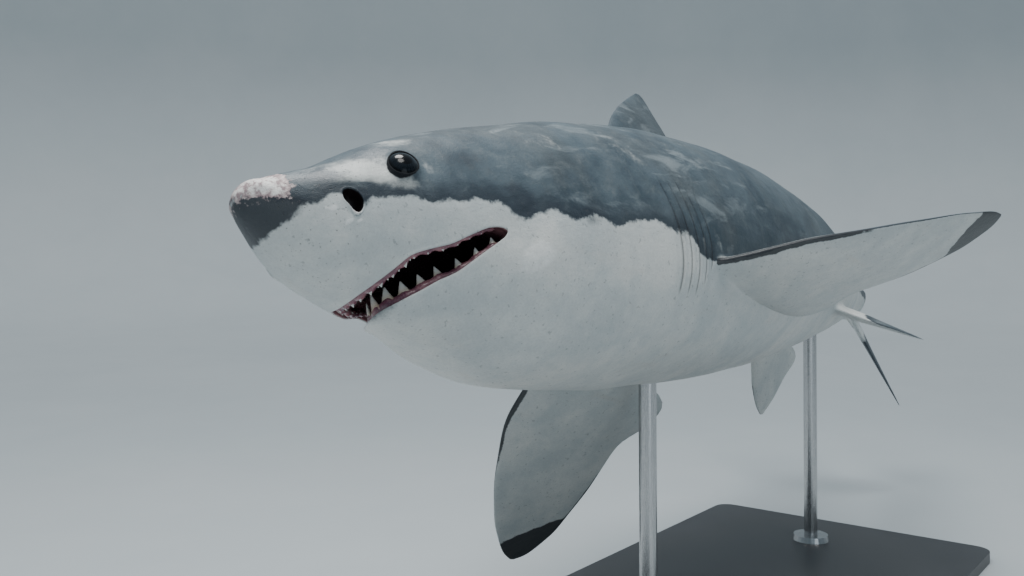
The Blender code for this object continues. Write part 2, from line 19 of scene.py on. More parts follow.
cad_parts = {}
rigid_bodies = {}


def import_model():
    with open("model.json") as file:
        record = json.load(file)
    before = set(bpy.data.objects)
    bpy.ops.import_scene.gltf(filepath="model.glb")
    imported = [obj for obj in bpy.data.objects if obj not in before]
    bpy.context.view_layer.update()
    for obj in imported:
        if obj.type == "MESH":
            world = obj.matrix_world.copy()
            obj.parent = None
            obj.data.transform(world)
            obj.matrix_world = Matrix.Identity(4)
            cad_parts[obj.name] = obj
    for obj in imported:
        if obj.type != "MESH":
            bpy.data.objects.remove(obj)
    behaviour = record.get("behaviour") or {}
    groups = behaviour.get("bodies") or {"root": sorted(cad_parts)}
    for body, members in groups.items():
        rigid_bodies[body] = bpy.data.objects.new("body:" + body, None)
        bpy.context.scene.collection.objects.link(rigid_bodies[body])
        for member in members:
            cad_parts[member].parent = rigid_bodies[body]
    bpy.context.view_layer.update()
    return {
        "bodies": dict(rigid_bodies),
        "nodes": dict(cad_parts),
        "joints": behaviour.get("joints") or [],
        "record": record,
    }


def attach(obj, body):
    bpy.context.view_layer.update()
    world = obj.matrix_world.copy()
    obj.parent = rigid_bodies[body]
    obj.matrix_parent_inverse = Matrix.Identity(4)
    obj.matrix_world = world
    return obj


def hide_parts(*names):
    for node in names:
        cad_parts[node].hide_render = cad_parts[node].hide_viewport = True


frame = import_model()

# ------------------------------------------------------------ dimensions

LENGTH = 4.1
NOSE_UP = radians(3.8)
BANK = radians(28.4)
AXIS_HEIGHT = 1.12
PIVOT = 1.72
TAIL_BEND = 0.75
BEND_RADIUS = 1 / TAIL_BEND
BEND_START = 0.49
SNOUT_LIFT = (0.0088, 0.0585)

TOP = ((0.0, 0.0), (0.012, 0.0121), (0.03, 0.0195), (0.06, 0.0346), (0.1, 0.048),
    (0.15, 0.0575), (0.2, 0.0687), (0.25, 0.0758), (0.29, 0.0805), (0.36, 0.0826),
    (0.44, 0.0794), (0.54, 0.067), (0.64, 0.0505), (0.715, 0.0375), (0.777, 0.0268),
    (0.818, 0.0215), (0.85, 0.0195), (0.88, 0.015), (0.8978, 0.0125))
BELLY = ((0.0, 0.0), (0.012, 0.0151), (0.03, 0.0278), (0.043, 0.0317), (0.053, 0.0343),
    (0.073, 0.0429), (0.1, 0.056), (0.15, 0.078), (0.2, 0.0825), (0.25, 0.0845), (0.29, 0.084),
    (0.36, 0.0832), (0.44, 0.078), (0.54, 0.0655), (0.64, 0.0492), (0.715, 0.0356),
    (0.777, 0.0254), (0.818, 0.0205), (0.85, 0.0195), (0.88, 0.015), (0.8978, 0.0125))
JAW = ((0.0, 0.0), (0.0537, 0.032), (0.0585, 0.0425), (0.066, 0.0474), (0.076, 0.0508),
    (0.1, 0.058), (0.15, 0.078), (0.2, 0.0825), (0.25, 0.0845))
JAW_NARROWING = 0.14
JAW_WIDENS = (0.083, 0.112)
SIDE = ((0.0, 0.0), (0.012, 0.0158), (0.03, 0.0287), (0.06, 0.0426), (0.1, 0.053),
    (0.15, 0.0678), (0.2, 0.074), (0.25, 0.0778), (0.29, 0.0795), (0.36, 0.0799),
    (0.44, 0.0753), (0.54, 0.0618), (0.64, 0.0455), (0.715, 0.0325), (0.777, 0.0241),
    (0.818, 0.023), (0.85, 0.0248), (0.868, 0.02), (0.882, 0.011), (0.892, 0.0062),
    (0.8978, 0.0036))
SQUARENESS = ((0.0, 2.0), (0.1, 2.15), (0.69, 2.1), (0.79, 1.7), (0.88, 1.5))

MOUTH = (0.0532, 0.1098)
LIPS = {
    "upper": ((0.0, -0.0338), (0.05, -0.0322), (0.15, -0.0286), (0.3, -0.0279), (0.45, -0.0275),
        (0.62, -0.0249), (0.8, -0.0228), (0.93, -0.0235), (1.0, -0.0264)),
    "lower": ((0.0, -0.0428), (0.09, -0.0444), (0.17, -0.0446), (0.3, -0.0432), (0.43, -0.0408),
        (0.57, -0.0391), (0.73, -0.0347), (0.9, -0.0297), (1.0, -0.0264))}
# The way that each jaw's teeth point.
UPWARD = {"upper": -1, "lower": 1}

# The eye and the nostril, each with its place and its slant.
EYE_PLACE = (0.0618, 0.0093)
EYE_RADIUS = 0.038
EYE_SHOWS = 0.015
EYE_SLANT = (0.77, 0.0, 0.64)
EYE_OPENING = 0.039
SOCKET_GAP = 0.0008
LID_SQUEEZE = 0.10
NOSTRIL_PLACE = (0.0358, -0.006)
NOSTRIL_SLANT = 69
NOSTRIL_REACH = (0.0074, 0.0040)
NOSTRIL_WIDENS = 28

# The gill slits: (along, height of the top, height of the foot).
GILL_SLITS = ((0.2335, 0.003, -0.0575), (0.2425, 0.001, -0.058), (0.251, -0.001, -0.0566),
    (0.2588, -0.004, -0.0527), (0.266, -0.008, -0.0478))
GILL_RAKE = 0.006
GILL_BOW = 0.0016

# Fins: the front edge and the rear edge, each as (height above the root,
# distance back from the fin's origin), and the thickness at root and tip as
# a fraction of the chord. The margins widen the root ahead, behind and to each
# side. Then come the number of rings, how dark the fin is where that doesn't
# turn with the side, and the rows and half the columns of the root's opening.
FINS = {
    "pectoral": {
        "front": ((-0.03, 0.0), (0.0, 0.0), (0.048, 0.0042), (0.107, 0.0294), (0.15, 0.0564),
            (0.174, 0.0794), (0.179, 0.0892)),
        "rear": ((-0.03, 0.079), (0.0, 0.0795), (0.01, 0.123), (0.022, 0.1345), (0.038, 0.1345),
            (0.064, 0.119), (0.107, 0.1215), (0.15, 0.1156), (0.174, 0.1005), (0.179, 0.0901)),
        "thick": (0.105, 0.07), "margins": (0.0034, 0.005, 0.0045), "rings": 24,
        "shade": None, "rows": (100, 117), "half": 2},
    "dorsal": {
        "front": ((-0.03, -0.025), (0.0, -0.02), (0.028, -0.002), (0.045, 0.015), (0.06, 0.036),
            (0.071, 0.056), (0.0785, 0.0705), (0.082, 0.0785)),
        "rear": ((-0.03, 0.094), (0.0, 0.0955), (0.006, 0.119), (0.0117, 0.115),
            (0.024, 0.1015), (0.048, 0.0955), (0.066, 0.09), (0.0785, 0.086), (0.082, 0.0815)),
        "thick": (0.1, 0.06), "margins": (0.003, 0.004, 0.006), "rings": 19,
        "shade": 0.09, "rows": (115, 135), "half": 2},
    "second_dorsal": {
        "front": ((-0.01, -0.001), (0.0, 0.0), (0.008, 0.008), (0.013, 0.0137)),
        "rear": ((-0.01, 0.0117), (0.0, 0.0127), (0.0034, 0.0283), (0.006, 0.0244),
            (0.01, 0.0185), (0.013, 0.0161)),
        "thick": (0.16, 0.12), "margins": (0.002, 0.002, 0.002), "rings": 9,
        "shade": 0.09, "rows": (173, 177), "half": 1},
    "anal": {
        "front": ((-0.01, -0.001), (0.0, 0.0), (0.008, 0.009), (0.0137, 0.0156)),
        "rear": ((-0.01, 0.0117), (0.0, 0.0127), (0.0034, 0.0273), (0.006, 0.0244),
            (0.01, 0.02), (0.0137, 0.018)),
        "thick": (0.16, 0.12), "margins": (0.002, 0.002, 0.002), "rings": 9,
        "shade": -0.004, "rows": (179, 183), "half": 1},
    "pelvic": {
        "front": ((-0.02, 0.0), (0.0, 0.0), (0.035, 0.016), (0.058, 0.034), (0.068, 0.046)),
        "rear": ((-0.02, 0.052), (0.0, 0.054), (0.01, 0.081), (0.017, 0.083), (0.03, 0.072),
            (0.054, 0.061), (0.068, 0.05)),
        "thick": (0.11, 0.07), "margins": (0.002, 0.003, 0.003), "rings": 12,
        "shade": None, "rows": (144, 152), "half": 1},
    "caudal_upper": {
        "front": ((0.0, -0.006), (0.014, -0.004), (0.03, 0.01), (0.073, 0.053), (0.118, 0.104),
            (0.142, 0.137), (0.149, 0.1475)),
        "rear": ((0.0, 0.053), (0.014, 0.0575), (0.039, 0.0715), (0.078, 0.0985), (0.115, 0.13),
            (0.125, 0.1445), (0.135, 0.1485), (0.149, 0.1505)),
        "thick": (0.13, 0.05), "margins": (0.002, -0.002, 0.001), "rings": 22,
        "shade": 0.09, "rows": (193, 205), "half": 2},
    "caudal_lower": {
        "front": ((0.0, -0.006), (0.014, -0.004), (0.03, 0.006), (0.069, 0.0355),
            (0.103, 0.068), (0.12, 0.0895)),
        "rear": ((0.0, 0.053), (0.014, 0.0555), (0.039, 0.0615), (0.078, 0.078),
            (0.108, 0.0925), (0.12, 0.094)),
        "thick": (0.13, 0.05), "margins": (0.002, -0.002, 0.001), "rings": 19,
        "shade": 0.02, "rows": (193, 205), "half": 2}}
FIN_FULLNESS = 2.6
FIN_TAPER = 0.9
FIN_FILLET = 0.0065
SMALL_FIN = 0.02
SMALL_FILLET = 0.0022
RIPPLE = 0.0010
EDGE_THICKNESS = 0.0016
PECTORAL_ROOT = (0.2722, 0.0654, -0.0425)
PECTORAL_SET = {"right": (0.328, 0.295, 0.025, 0.113),
                "left": (0.111, 0.217, 0.395, -0.127)}
PECTORAL_COLUMN = 13
PELVIC_ROOT = (0.528, 0.0332, -0.0488)
PELVIC_SET = (0.8, 0.1, 0.0)
PELVIC_COLUMN = 9
DORSAL_PLACE = 0.363
SECOND_DORSAL_PLACE = 0.738
ANAL_PLACE = 0.765
CAUDAL_PLACE = 0.8447
SIDE_SIGN = {"left": -1, "right": 1}

# The grid that the skin is made from. COLUMNS run round the body from the
# belly over the right side and the back. ROWS run from the snout to the tail.
# The skin behind the mouth's corners turns into the lower jaw's over JAW_ROWS.
COLUMNS = 88
HALF = COLUMNS // 2
CAP_PLACE = 0.010
MOUTH_ROW = 38
MOUTH_ROW_BEND = 0.009
CORNER_COLUMN = 20
THROAT_ROW = 59
JAW_ROWS = 7
GILL_ROWS = (76, 82, 88, 93, 98)
ROW_PLACES = ((59, 0.158), (74, 0.229), (76, 0.2335), (82, 0.2425), (88, 0.251), (93, 0.2588),
    (98, 0.266), (100, 0.2702), (117, 0.3545), (118, 0.36), (135, 0.4635), (144, 0.5245),
    (152, 0.585), (167, 0.7055), (173, 0.7365), (177, 0.7535), (179, 0.7635), (183, 0.7805),
    (192, 0.8365), (206, 0.8978))
ROWS = ROW_PLACES[-1][0]
BODY_MARGIN = 1e-6
# The levels between which a point counts less and less as part of the body.
BODY_LEVELS = (1.08, 1.35)
# How often the skin over the mouth's corners is smoothed.
CORNER_ROUNDS = 8
# Roughly how far a step along turns into an angle round the head.
ANGLE_PER_STEP = 26
WELD = 1e-5

# The line between the dark back and the pale belly: (along, height).
SHADE_LINE = ((0.0, 0.004), (0.02, -0.003), (0.03, -0.0012), (0.036, -0.0035),
    (0.0385, -0.0098), (0.0412, -0.0104), (0.0435, -0.0062), (0.05, -0.0078), (0.06, -0.0096),
    (0.071, -0.011), (0.093, -0.0116), (0.1045, -0.0135), (0.109, -0.016), (0.1134, -0.0207),
    (0.1185, -0.023), (0.126, -0.0212), (0.1314, -0.0197), (0.1377, -0.0213), (0.1482, -0.026),
    (0.1574, -0.0237), (0.1633, -0.0219), (0.1692, -0.0235), (0.1746, -0.0273),
    (0.1828, -0.0248), (0.1919, -0.0227), (0.2106, -0.0217), (0.2196, -0.0235),
    (0.2292, -0.0274), (0.2392, -0.0275), (0.2477, -0.0312), (0.2551, -0.0385),
    (0.2702, -0.0455), (0.285, -0.0485), (0.3, -0.0515), (0.33, -0.0575), (0.352, -0.06),
    (0.366, -0.044), (0.385, -0.032), (0.46, -0.025), (0.56, -0.024), (0.7, -0.012),
    (0.82, -0.006), (0.9, -0.02))

# Pale (above 0) and dark (below 0) patches: (along, height, reach along, reach up,
# amount). Most are marks of the hide; the rest are painted light: painted highlights
# behind the eye, on top of the head, on the nostril's flap, on the cheek under the
# mouth's corner, on the gill covers and at the breast fin's root, painted light on
# the flank behind the gills, and painted shade under the front of the lower lip.
PATCHES = ((0.048, 0.005, 0.01, 0.0055, 1.1), (0.04, 0.013, 0.016, 0.006, 0.8),
    # The second patch here, behind the eye, is a painted highlight.
    (0.036, 0.003, 0.012, 0.0028, 0.6), (0.074, 0.008, 0.0034, 0.0095, 0.7),
    # The first patch here, on top of the head, is a painted highlight.
    (0.068, 0.026, 0.018, 0.006, 0.75), (0.095, 0.012, 0.018, 0.011, -0.65),
    (0.112, -0.007, 0.016, 0.006, -0.6), (0.12, -0.015, 0.008, 0.007, -0.9),
    (0.16, -0.022, 0.011, 0.007, -0.7), (0.15, 0.025, 0.03, 0.014, 0.4),
    # The second patch here is painted light on the flank behind the gills.
    (0.185, 0.005, 0.025, 0.012, -0.35), (0.215, 0.025, 0.018, 0.02, 0.45),
    (0.24, -0.025, 0.012, 0.014, -0.45), (0.3, 0.01, 0.03, 0.02, -0.3),
    (0.33, 0.045, 0.04, 0.018, 0.3), (0.5, 0.015, 0.05, 0.016, -0.3),
    (0.64, 0.01, 0.05, 0.014, 0.25), (0.04, -0.005, 0.0036, 0.006, -0.9),
    # The second patch here and the first on the next line are painted highlights on the
    # nostril's flap.
    (0.0335, -0.0006, 0.006, 0.002, -0.9), (0.0378, -0.0142, 0.001, 0.0014, 1.5),
    (0.0335, -0.0138, 0.0014, 0.0016, 1.6), (0.0269, -0.007, 0.0028, 0.0018, 1.3),
    # The first patch here is a painted highlight on the cheek under the mouth's corner; the
    # second is a painted highlight at the breast fin's root.
    (0.122, -0.04, 0.015, 0.011, 0.9), (0.26, -0.033, 0.002, 0.006, 1.0),
    # Both patches here are painted highlights at the breast fin's root.
    (0.278, -0.033, 0.005, 0.009, 0.62), (0.292, -0.038, 0.006, 0.006, 0.7),
    # The first patch here is a painted highlight on the gill covers; the second is painted shade
    # under the front of the lower lip.
    (0.248, -0.02, 0.002, 0.01, 0.5), (0.0604, -0.0468, 0.0056, 0.0042, -0.82),
    (0.06, -0.0018, 0.0062, 0.0034, 0.95))

# Swellings (above 0) and hollows of the head, as in PATCHES, in metres: the
# brow over the eye, the dip ahead of it and the hollow behind it, the cheek's
# jaw muscle, the edge of the snout over the nostril, and the lobe under it.
SWELLINGS = ((0.063, 0.0215, 0.012, 0.0060, 0.0040), (0.050, 0.0080, 0.006, 0.0065, -0.0028),
             (0.077, 0.0080, 0.008, 0.0070, -0.0030), (0.124, -0.040, 0.014, 0.013, 0.0085),
             (0.106, -0.0100, 0.022, 0.0080, 0.0045), (0.036, 0.0045, 0.008, 0.0035, 0.0030),
             (0.0344, -0.0136, 0.0014, 0.0018, 0.0050))

# The mouth's lining, ring by ring: how wet it is, how much painted shade darkens it,
# how far in from the rim, and how far towards the gap at the upper and the lower lip,
# in metres. The first three roll the lips. A groove, the gum's seat and the walls
# of the mouth follow.
LINING = ((0.15, 0, 0.0015, 0.0025, 0.0025), (0.55, 0, 0.005, 0.004, 0.0042),
          (0.9, 0.1, 0.009, 0.002, 0.002), (1, 0.5, 0.011, -0.005, -0.006),
          (1, 0.6, 0.014, -0.011, -0.012), (1, 0.45, 0.024, -0.013, -0.014),
          (1, 0.6, 0.036, -0.018, -0.022), (1, 0.8, 0.062, -0.026, -0.034),
          (1, 1, 0.10, -0.028, -0.036))
LIP_RINGS = 3
JAW_WALL = 0.009
THROAT_PULLS = (0.4, 0.6, 0.8)
THROAT = (0.128, 0, -0.034)

# A gill slit: how far its front edge stands out and its rear edge lies in, how
# far each moves back, and how much painted shade darkens their rims. Then its
# pocket, ring by ring: (depth, distance forward, share closed, how much painted
# shade darkens it).
FLAP_OUT = 0.0064
FLAP_BACK = 0.0005
SLIT_IN = 0.0095
SLIT_BACK = 0.0105
SLIT_RECESS_SHADE = 0.62
POCKET = ((0.0025, 0.0006, 0.1, 0.35), (0.007, 0.003, 0.25, 0.9),
          (0.015, 0.010, 0.6, 1.0), (0.020, 0.016, 1.0, 1.0))


# ---------------------------------------------------------------- curves

def curve(points):
    """Return a smooth function through the points that never overshoots."""
    xs, ys = zip(*points)
    steps = [b - a for a, b in zip(xs, xs[1:])]
    slopes = [(b - a) / h for a, b, h in zip(ys, ys[1:], steps)]
    tangents = [slopes[0]]
    for before, after, h0, h1 in zip(slopes, slopes[1:], steps, steps[1:]):
        w0 = 2 * h1 + h0
        w1 = h1 + 2 * h0
        turns = before * after <= 0
        tangents.append(0.0 if turns else (w0 + w1) / (w0 / before + w1 / after))
    tangents.append(slopes[-1])

    def value(x):
        x = min(max(x, xs[0]), xs[-1])
        i = max(j for j in range(len(steps)) if xs[j] <= x)
        t = (x - xs[i]) / steps[i]
        bend = (1 - t) * tangents[i] * (1 - t) - t * tangents[i + 1] * t
        return (ys[i] * (1 + 2 * t) * (1 - t) ** 2 + ys[i + 1] * t * t * (3 - 2 * t)
                + steps[i] * t * (1 - t) * bend)

    return value


def rounded_curve(points):
    """A curve whose first point is a round tip, not a cone's."""
    inner = curve([(sqrt(x), y) for x, y in points])
    return lambda x: inner(sqrt(max(x, 0.0)))


def ease(value, low=0.0, high=1.0):
    """A smooth step from 0 at low to 1 at high."""
    t = min(1.0, max(0.0, (value - low) / (high - low)))
    return t * t * (3 - 2 * t)


def hump(value, middle, width):
    """A bell that is 1 at middle and fades out over width either way."""
    return exp(-((value - middle) / width) ** 2)


def soft_sum(patches, along, up):
    """The sum of soft patches at a place."""
    return sum(amount * hump(along, there, reach) * hump(up, height, tall)
               for there, height, reach, tall, amount in patches)


def signed_power(value, power):
    return copysign(abs(value) ** power, value)


def last_inside(is_inside, low, high):
    """The furthest value from low that is still inside, by halving."""
    for _ in range(30):
        middle = (low + high) / 2
        if is_inside(middle):
            low = middle
        else:
            high = middle
    return low


def turns_round(count):
    return [2 * pi * k / count for k in range(count)]


def wrapped(turn):
    """The same turn between half a turn back and half a turn on."""
    return (turn + pi) % (2 * pi) - pi


def mirrored(angle, side):
    """An angle of the right side (1), or its mirror image on the left (-1)."""
    return angle if side > 0 else pi - angle


def axes(x, y, z):
    """The matrix whose own X, Y and Z point these ways."""
    return Matrix((x, y, z)).transposed().to_4x4()


top_of = rounded_curve(TOP)
belly_of = rounded_curve(BELLY)
jaw_of = rounded_curve(JAW)
side_of = rounded_curve(SIDE)
squareness_of = curve(SQUARENESS)
lip_of = {jaw: curve(points) for jaw, points in LIPS.items()}
shade_line = curve(SHADE_LINE)


# -------------------------------------------------------------- the body

def under_of(along, jaw_share):
    """The depth of the belly, or of the lower jaw where jaw_share is 1."""
    if along > JAW[-1][0]:
        return belly_of(along)
    return belly_of(along) + jaw_share * (jaw_of(along) - belly_of(along))


def spine(along):
    """Return the axis point and its heading, with the tail's gentle sweep."""
    lift, faded = SNOUT_LIFT
    heading = TAIL_BEND * max(0.0, min(along, CAUDAL_PLACE) - BEND_START)
    straight = max(0.0, along - CAUDAL_PLACE)
    c = cos(heading)
    s = sin(heading)
    return Vector((min(along, BEND_START) + BEND_RADIUS * s + straight * c,
                   BEND_RADIUS * (1 - c) + straight * s,
                   lift * max(0.0, 1 - along / faded) ** 2)), heading


def narrowing(along, sine):
    """The share by which the lower jaw's front is narrower than the snout."""
    fade = 1 - ease(along, *JAW_WIDENS)
    return JAW_NARROWING * fade * ease(-sine, 0.35, 0.75)


def body_point(along, angle, jaw_share=0.0):
    """A point of the skin, in metres."""
    centre, heading = spine(along)
    power = 2 / squareness_of(along)
    c = cos(angle)
    s = sin(angle)
    across = signed_power(c, power) * side_of(along)
    across *= 1 - jaw_share * narrowing(along, s)
    height = top_of(along) if s > 0 else under_of(along, jaw_share)
    out = Vector((-sin(heading) * across, cos(heading) * across,
                  signed_power(s, power) * height))
    return (centre + out) * LENGTH


def locate(place):
    """Where a point is on the body: along, its angle and its level.

    Level is 1 on the skin, and less inside the body.
    """
    x, y, z = place / LENGTH
    along = x
    across = y
    if x > BEND_START:
        heading = atan2(x - BEND_START, BEND_RADIUS - y)
        along = BEND_START + heading / TAIL_BEND
        across = BEND_RADIUS - hypot(x - BEND_START, BEND_RADIUS - y)
        if along > CAUDAL_PLACE:
            root, heading = spine(CAUDAL_PLACE)
            x -= root.x
            y -= root.y
            along = CAUDAL_PLACE + x * cos(heading) + y * sin(heading)
            across = y * cos(heading) - x * sin(heading)
    up = z - spine(along)[0].z
    height = top_of(along) if up > 0 else belly_of(along)
    power = squareness_of(along) / 2
    c = signed_power(across / max(side_of(along), BODY_MARGIN), power)
    s = signed_power(up / max(height, BODY_MARGIN), power)
    return along, atan2(s, c), c * c + s * s


def angle_at(along, up, jaw_share=0.0):
    """The angle at which the right side of the body has this height."""
    rise = spine(along)[0].z
    height = top_of(along) if up > rise else under_of(along, jaw_share)
    sine = min(1.0, abs(up - rise) / height) ** (squareness_of(along) / 2)
    return copysign(asin(sine), up - rise)


def pose_matrix():
    return (Matrix.Translation((0, 0, AXIS_HEIGHT))
            @ Matrix.Rotation(NOSE_UP, 4, "Y") @ Matrix.Rotation(-BANK, 4, "X")
            @ Matrix.Translation((-PIVOT, 0, 0)))


def on_skin(place, side):
    """A point of the skin and its outward direction, in metres."""
    along, up = place
    angle = angle_at(along, up)
    here = body_point(along, angle)
    ahead = body_point(along - 0.004, angle) - here
    above = body_point(along, angle + 0.05) - here
    out = above.cross(ahead).normalized()
    if out.y < 0:
        out = -out
    flip = Vector((1, side, 1))
    return here * flip, out * flip


# ------------------------------------------------------------------ lips

RIM_STEPS = 200


def rim_walk(jaw):
    """The right half of one lip's rim: places, from the front to the corner."""
    jaw_share = 1.0 if jaw == "lower" else 0.0
    rim = []
    for i in range(RIM_STEPS + 1):
        part = (i / RIM_STEPS) ** 2
        along = MOUTH[0] + part * (MOUTH[1] - MOUTH[0])
        height = lip_of[jaw](part)
        if abs(height - spine(along)[0].z) < under_of(along, jaw_share):
            angle = angle_at(along, height, jaw_share)
            rim.append((along, angle, body_point(along, angle, jaw_share)))
    along, _, place = rim[0]
    rim.insert(0, (along - 0.0002, -pi / 2, Vector((place.x - 0.0008, 0, place.z))))
    walked = [0.0]
    for before, after in zip(rim, rim[1:]):
        walked.append(walked[-1] + (after[2] - before[2]).length)
    return rim, walked


RIMS = {jaw: rim_walk(jaw) for jaw in LIPS}


def rim_at(jaw, share, side=1):
    """(along, angle, place, outward direction) at a share of a lip's rim.

    Place and direction are on the side asked for, and angle is on the right.
    """
    rim, walked = RIMS[jaw]
    target = share * walked[-1]
    i = max(j for j in range(len(walked) - 1) if walked[j] <= target)
    t = (target - walked[i]) / (walked[i + 1] - walked[i])
    before, after = rim[i], rim[i + 1]
    step = after[2] - before[2]
    out = Vector((-step.y, step.x, 0)).normalized() if share > 1e-6 else Vector((-1, 0, 0))
    flip = Vector((1, side, 1))
    return (before[0] + t * (after[0] - before[0]), before[1] + t * (after[1] - before[1]),
            (before[2] + step * t) * flip, out * flip)


# ------------------------------------------------------- the skin's grid

def base_angle(column):
    return -pi / 2 + 2 * pi * column / COLUMNS


def base_grid():
    """Where each grid point lies on the skin, before the openings.

    The rows from the snout bend into the mouth's line, which is a row itself:
    ahead of it they end at the upper lip, and behind it they start again at
    the lower lip, whose places are returned as well.
    """
    row_place = curve(ROW_PLACES)
    corner = rim_at("upper", 1.0)
    places = np.zeros((ROWS + 2, COLUMNS, 2))
    for column in range(HALF + 1):
        straight = base_angle(column)
        if column <= CORNER_COLUMN:
            lip, lip_below = (rim_at(jaw, column / CORNER_COLUMN)[:2] for jaw in LIPS)
        else:
            part = (column - CORNER_COLUMN) / (HALF - CORNER_COLUMN)
            lip = lip_below = (corner[0] + MOUTH_ROW_BEND * part * (2 - part),
                               corner[1] + part * (pi / 2 - corner[1]))
        for row in range(ROWS + 1):
            if row <= MOUTH_ROW:
                part = row / MOUTH_ROW
                start, end = (CAP_PLACE, straight), lip
                pull = part ** 1.08, part * (2 - part) * part
            elif row <= THROAT_ROW:
                part = (row - MOUTH_ROW) / (THROAT_ROW - MOUTH_ROW)
                start, end = lip_below, (row_place(THROAT_ROW), straight)
                pull = part ** 1.05, ease(part)
            else:
                start = end = (row_place(row), straight)
                pull = 1.0, 1.0
            places[row, column] = [a + p * (b - a) for a, b, p in zip(start, end, pull)]
        places[-1, column] = lip_below
    places[:, HALF + 1:] = places[:, HALF - 1:0:-1]
    places[:, HALF + 1:, 1] = pi - places[:, HALF + 1:, 1]
    return places[:-1], places[-1]


def opening(first, last, column, half, step):
    """The grid points round an opening, from the middle of its front edge.

    step is the direction of the columns on the opening's first side.
    """
    ring = [(first, column + step * t) for t in range(half + 1)]
    ring += [(row, column + step * half) for row in range(first + 1, last + 1)]
    ring += [(last, column + step * t) for t in range(half - 1, -half - 1, -1)]
    ring += [(row, column - step * half) for row in range(last - 1, first - 1, -1)]
    ring += [(first, column - step * t) for t in range(half - 1, 0, -1)]
    return [(row, col % COLUMNS) for row, col in ring]


def nearest_cell(places, along, angle):
    """The grid point nearest to a place of the skin."""
    gap = ((places[..., 0] - along) * 12) ** 2 + wrapped(places[..., 1] - angle) ** 2
    return np.unravel_index(np.argmin(gap), gap.shape)


def relax(places, pins, reach=11, rounds=240):
    """Move grid points to their pinned places, and their neighbours with them."""
    shift = np.zeros(places.shape)
    held = np.ones(places.shape[:2], bool)
    for row, column in pins:
        near = [c % COLUMNS for c in range(column - reach, column + reach + 1)]
        held[max(1, row - reach):row + reach + 1, near] = False
    held[[0, -1]] = True
    held[MOUTH_ROW, :CORNER_COLUMN + 1] = True
    held[MOUTH_ROW, COLUMNS - CORNER_COLUMN:] = True
    for key, (along, angle) in pins.items():
        shift[key] = along - places[key][0], wrapped(angle - places[key][1])
        held[key] = True
    for _ in range(rounds):
        around = sum(np.roll(shift, step, axis) for axis in (1, 0) for step in (1, -1)) / 4
        shift = np.where(held[..., None], shift, around)
    return places + shift


# ------------------------------------------------------------------ fins

class Fin:
    """One fin: its outline, its frame on the body and its root's opening.

    step is the direction of the columns on the fin's first side.
    """

    def __init__(self, name, frame, column, step, curl=0.0):
        self.name = name
        self.kind = name.removesuffix("_left").removesuffix("_right")
        self.frame = frame
        self.curl = curl
        shape = FINS[self.kind]
        self.front = curve(shape["front"])
        self.rear = curve(shape["rear"])
        self.high = shape["front"][-1][0]
        self.thick = shape["thick"]
        self.margins = shape["margins"]
        self.rings = shape["rings"]
        self.shade = shape["shade"]
        self.opening = opening(*shape["rows"], column, shape["half"], step)

    def point(self, turn, out, spread=0.0, foot=0.0):
        """A point of the fin at this turn round its section, in metres.

        Turn 0 is the front edge and half a turn the rear edge; spread widens
        the section by this share of the margins. foot is how far out the skin
        lies here, and the fin's outline starts there.
        """
        ahead, behind, aside = (m * spread for m in self.margins)
        free = max(0.0, out - foot) * self.high / (self.high - foot)
        front = self.front(free)
        chord = self.rear(free) - front
        share = free / self.high
        thick = self.thick[0] * (1 - share) + self.thick[1] * share
        back = (1 - cos(turn)) / 2
        wide = FIN_FULLNESS * sqrt(back) * (1 - back) ** FIN_TAPER * thick * chord / 2
        wide += EDGE_THICKNESS / LENGTH / 2 * min(1, 3 * abs(sin(turn)))
        wide += aside * abs(sin(turn)) ** 0.7
        wide *= 1 - ease(out / self.high, 0.995, 1.0)
        lift = copysign(wide, sin(turn))
        lift -= self.curl * max(0.0, out) ** 2 / self.high
        x = front - ahead + back * (chord + ahead + behind) + self.ripple(out, back)
        return self.frame @ Vector((x, lift, out))

    def ripple(self, out, back):
        """The uneven rear edge of a worn fin."""
        worn = RIPPLE * ease(out / self.high, 0.12, 0.3) * (1 - out / self.high)
        wave = noise.noise(Vector((out * 230, len(self.name) * 3.7, 0)))
        wave += 0.5 * noise.noise(Vector((out * 610, 5.1, len(self.name))))
        return worn * wave * back ** 6

    def root(self, turn):
        """Where the widened root section, carried up or down, meets the skin.

        Returns (along, angle) and how far out that is.
        """
        section = self.frame.inverted() @ self.point(turn, 0.0, 1.0)

        def where(out):
            return locate(self.frame @ Vector((*section.xy, out)))

        low = 0.0 if self.kind.startswith("caudal") else -0.03
        out = last_inside(lambda out: where(out)[2] < 1, low, 0.06)
        return where(out)[:2], out

    def markings(self, turn, part):
        """How dark the fin is here, its dark tip and edges, the front edge partly painted shade,
        and the painted highlight along the front edge near the breast fin's root.
        """
        shade = self.shade
        back = (1 - cos(turn)) / 2
        if shade is None:
            shade = 0.07 * signed_power(sin(turn), 0.5) + 0.012 * hump(back, 0.0, 0.05)
        if self.kind != "pectoral":
            return shade, 0.0, 0.0
        # A painted highlight on the upper side of the front edge, near the root.
        pale = 1.1 * hump(back, 0.0, 0.09) * (1 - ease(part, 0.25, 0.50))
        rear = 0.75 * hump(back, 1.0, 0.030) * ease(part, 0.35, 0.6)
        # A dark front edge: partly a dark margin, partly painted shade below the lit edge.
        lead_dark_and_shade = 0.70 * hump(back, 0.0, 0.025) * (1 - ease(part, 0.35, 0.7))
        tip = max(ease(part + 0.17 * back, 0.885, 0.955), rear, lead_dark_and_shade)
        return shade, tip, pale * (sin(turn) > 0)


def set_frame(root, back, aside, out):
    """The matrix from a fin's own axes to the body frame in metres."""
    return (Matrix.Diagonal((LENGTH, LENGTH, LENGTH, 1.0))
            @ Matrix.Translation(root) @ axes(back, aside, out))


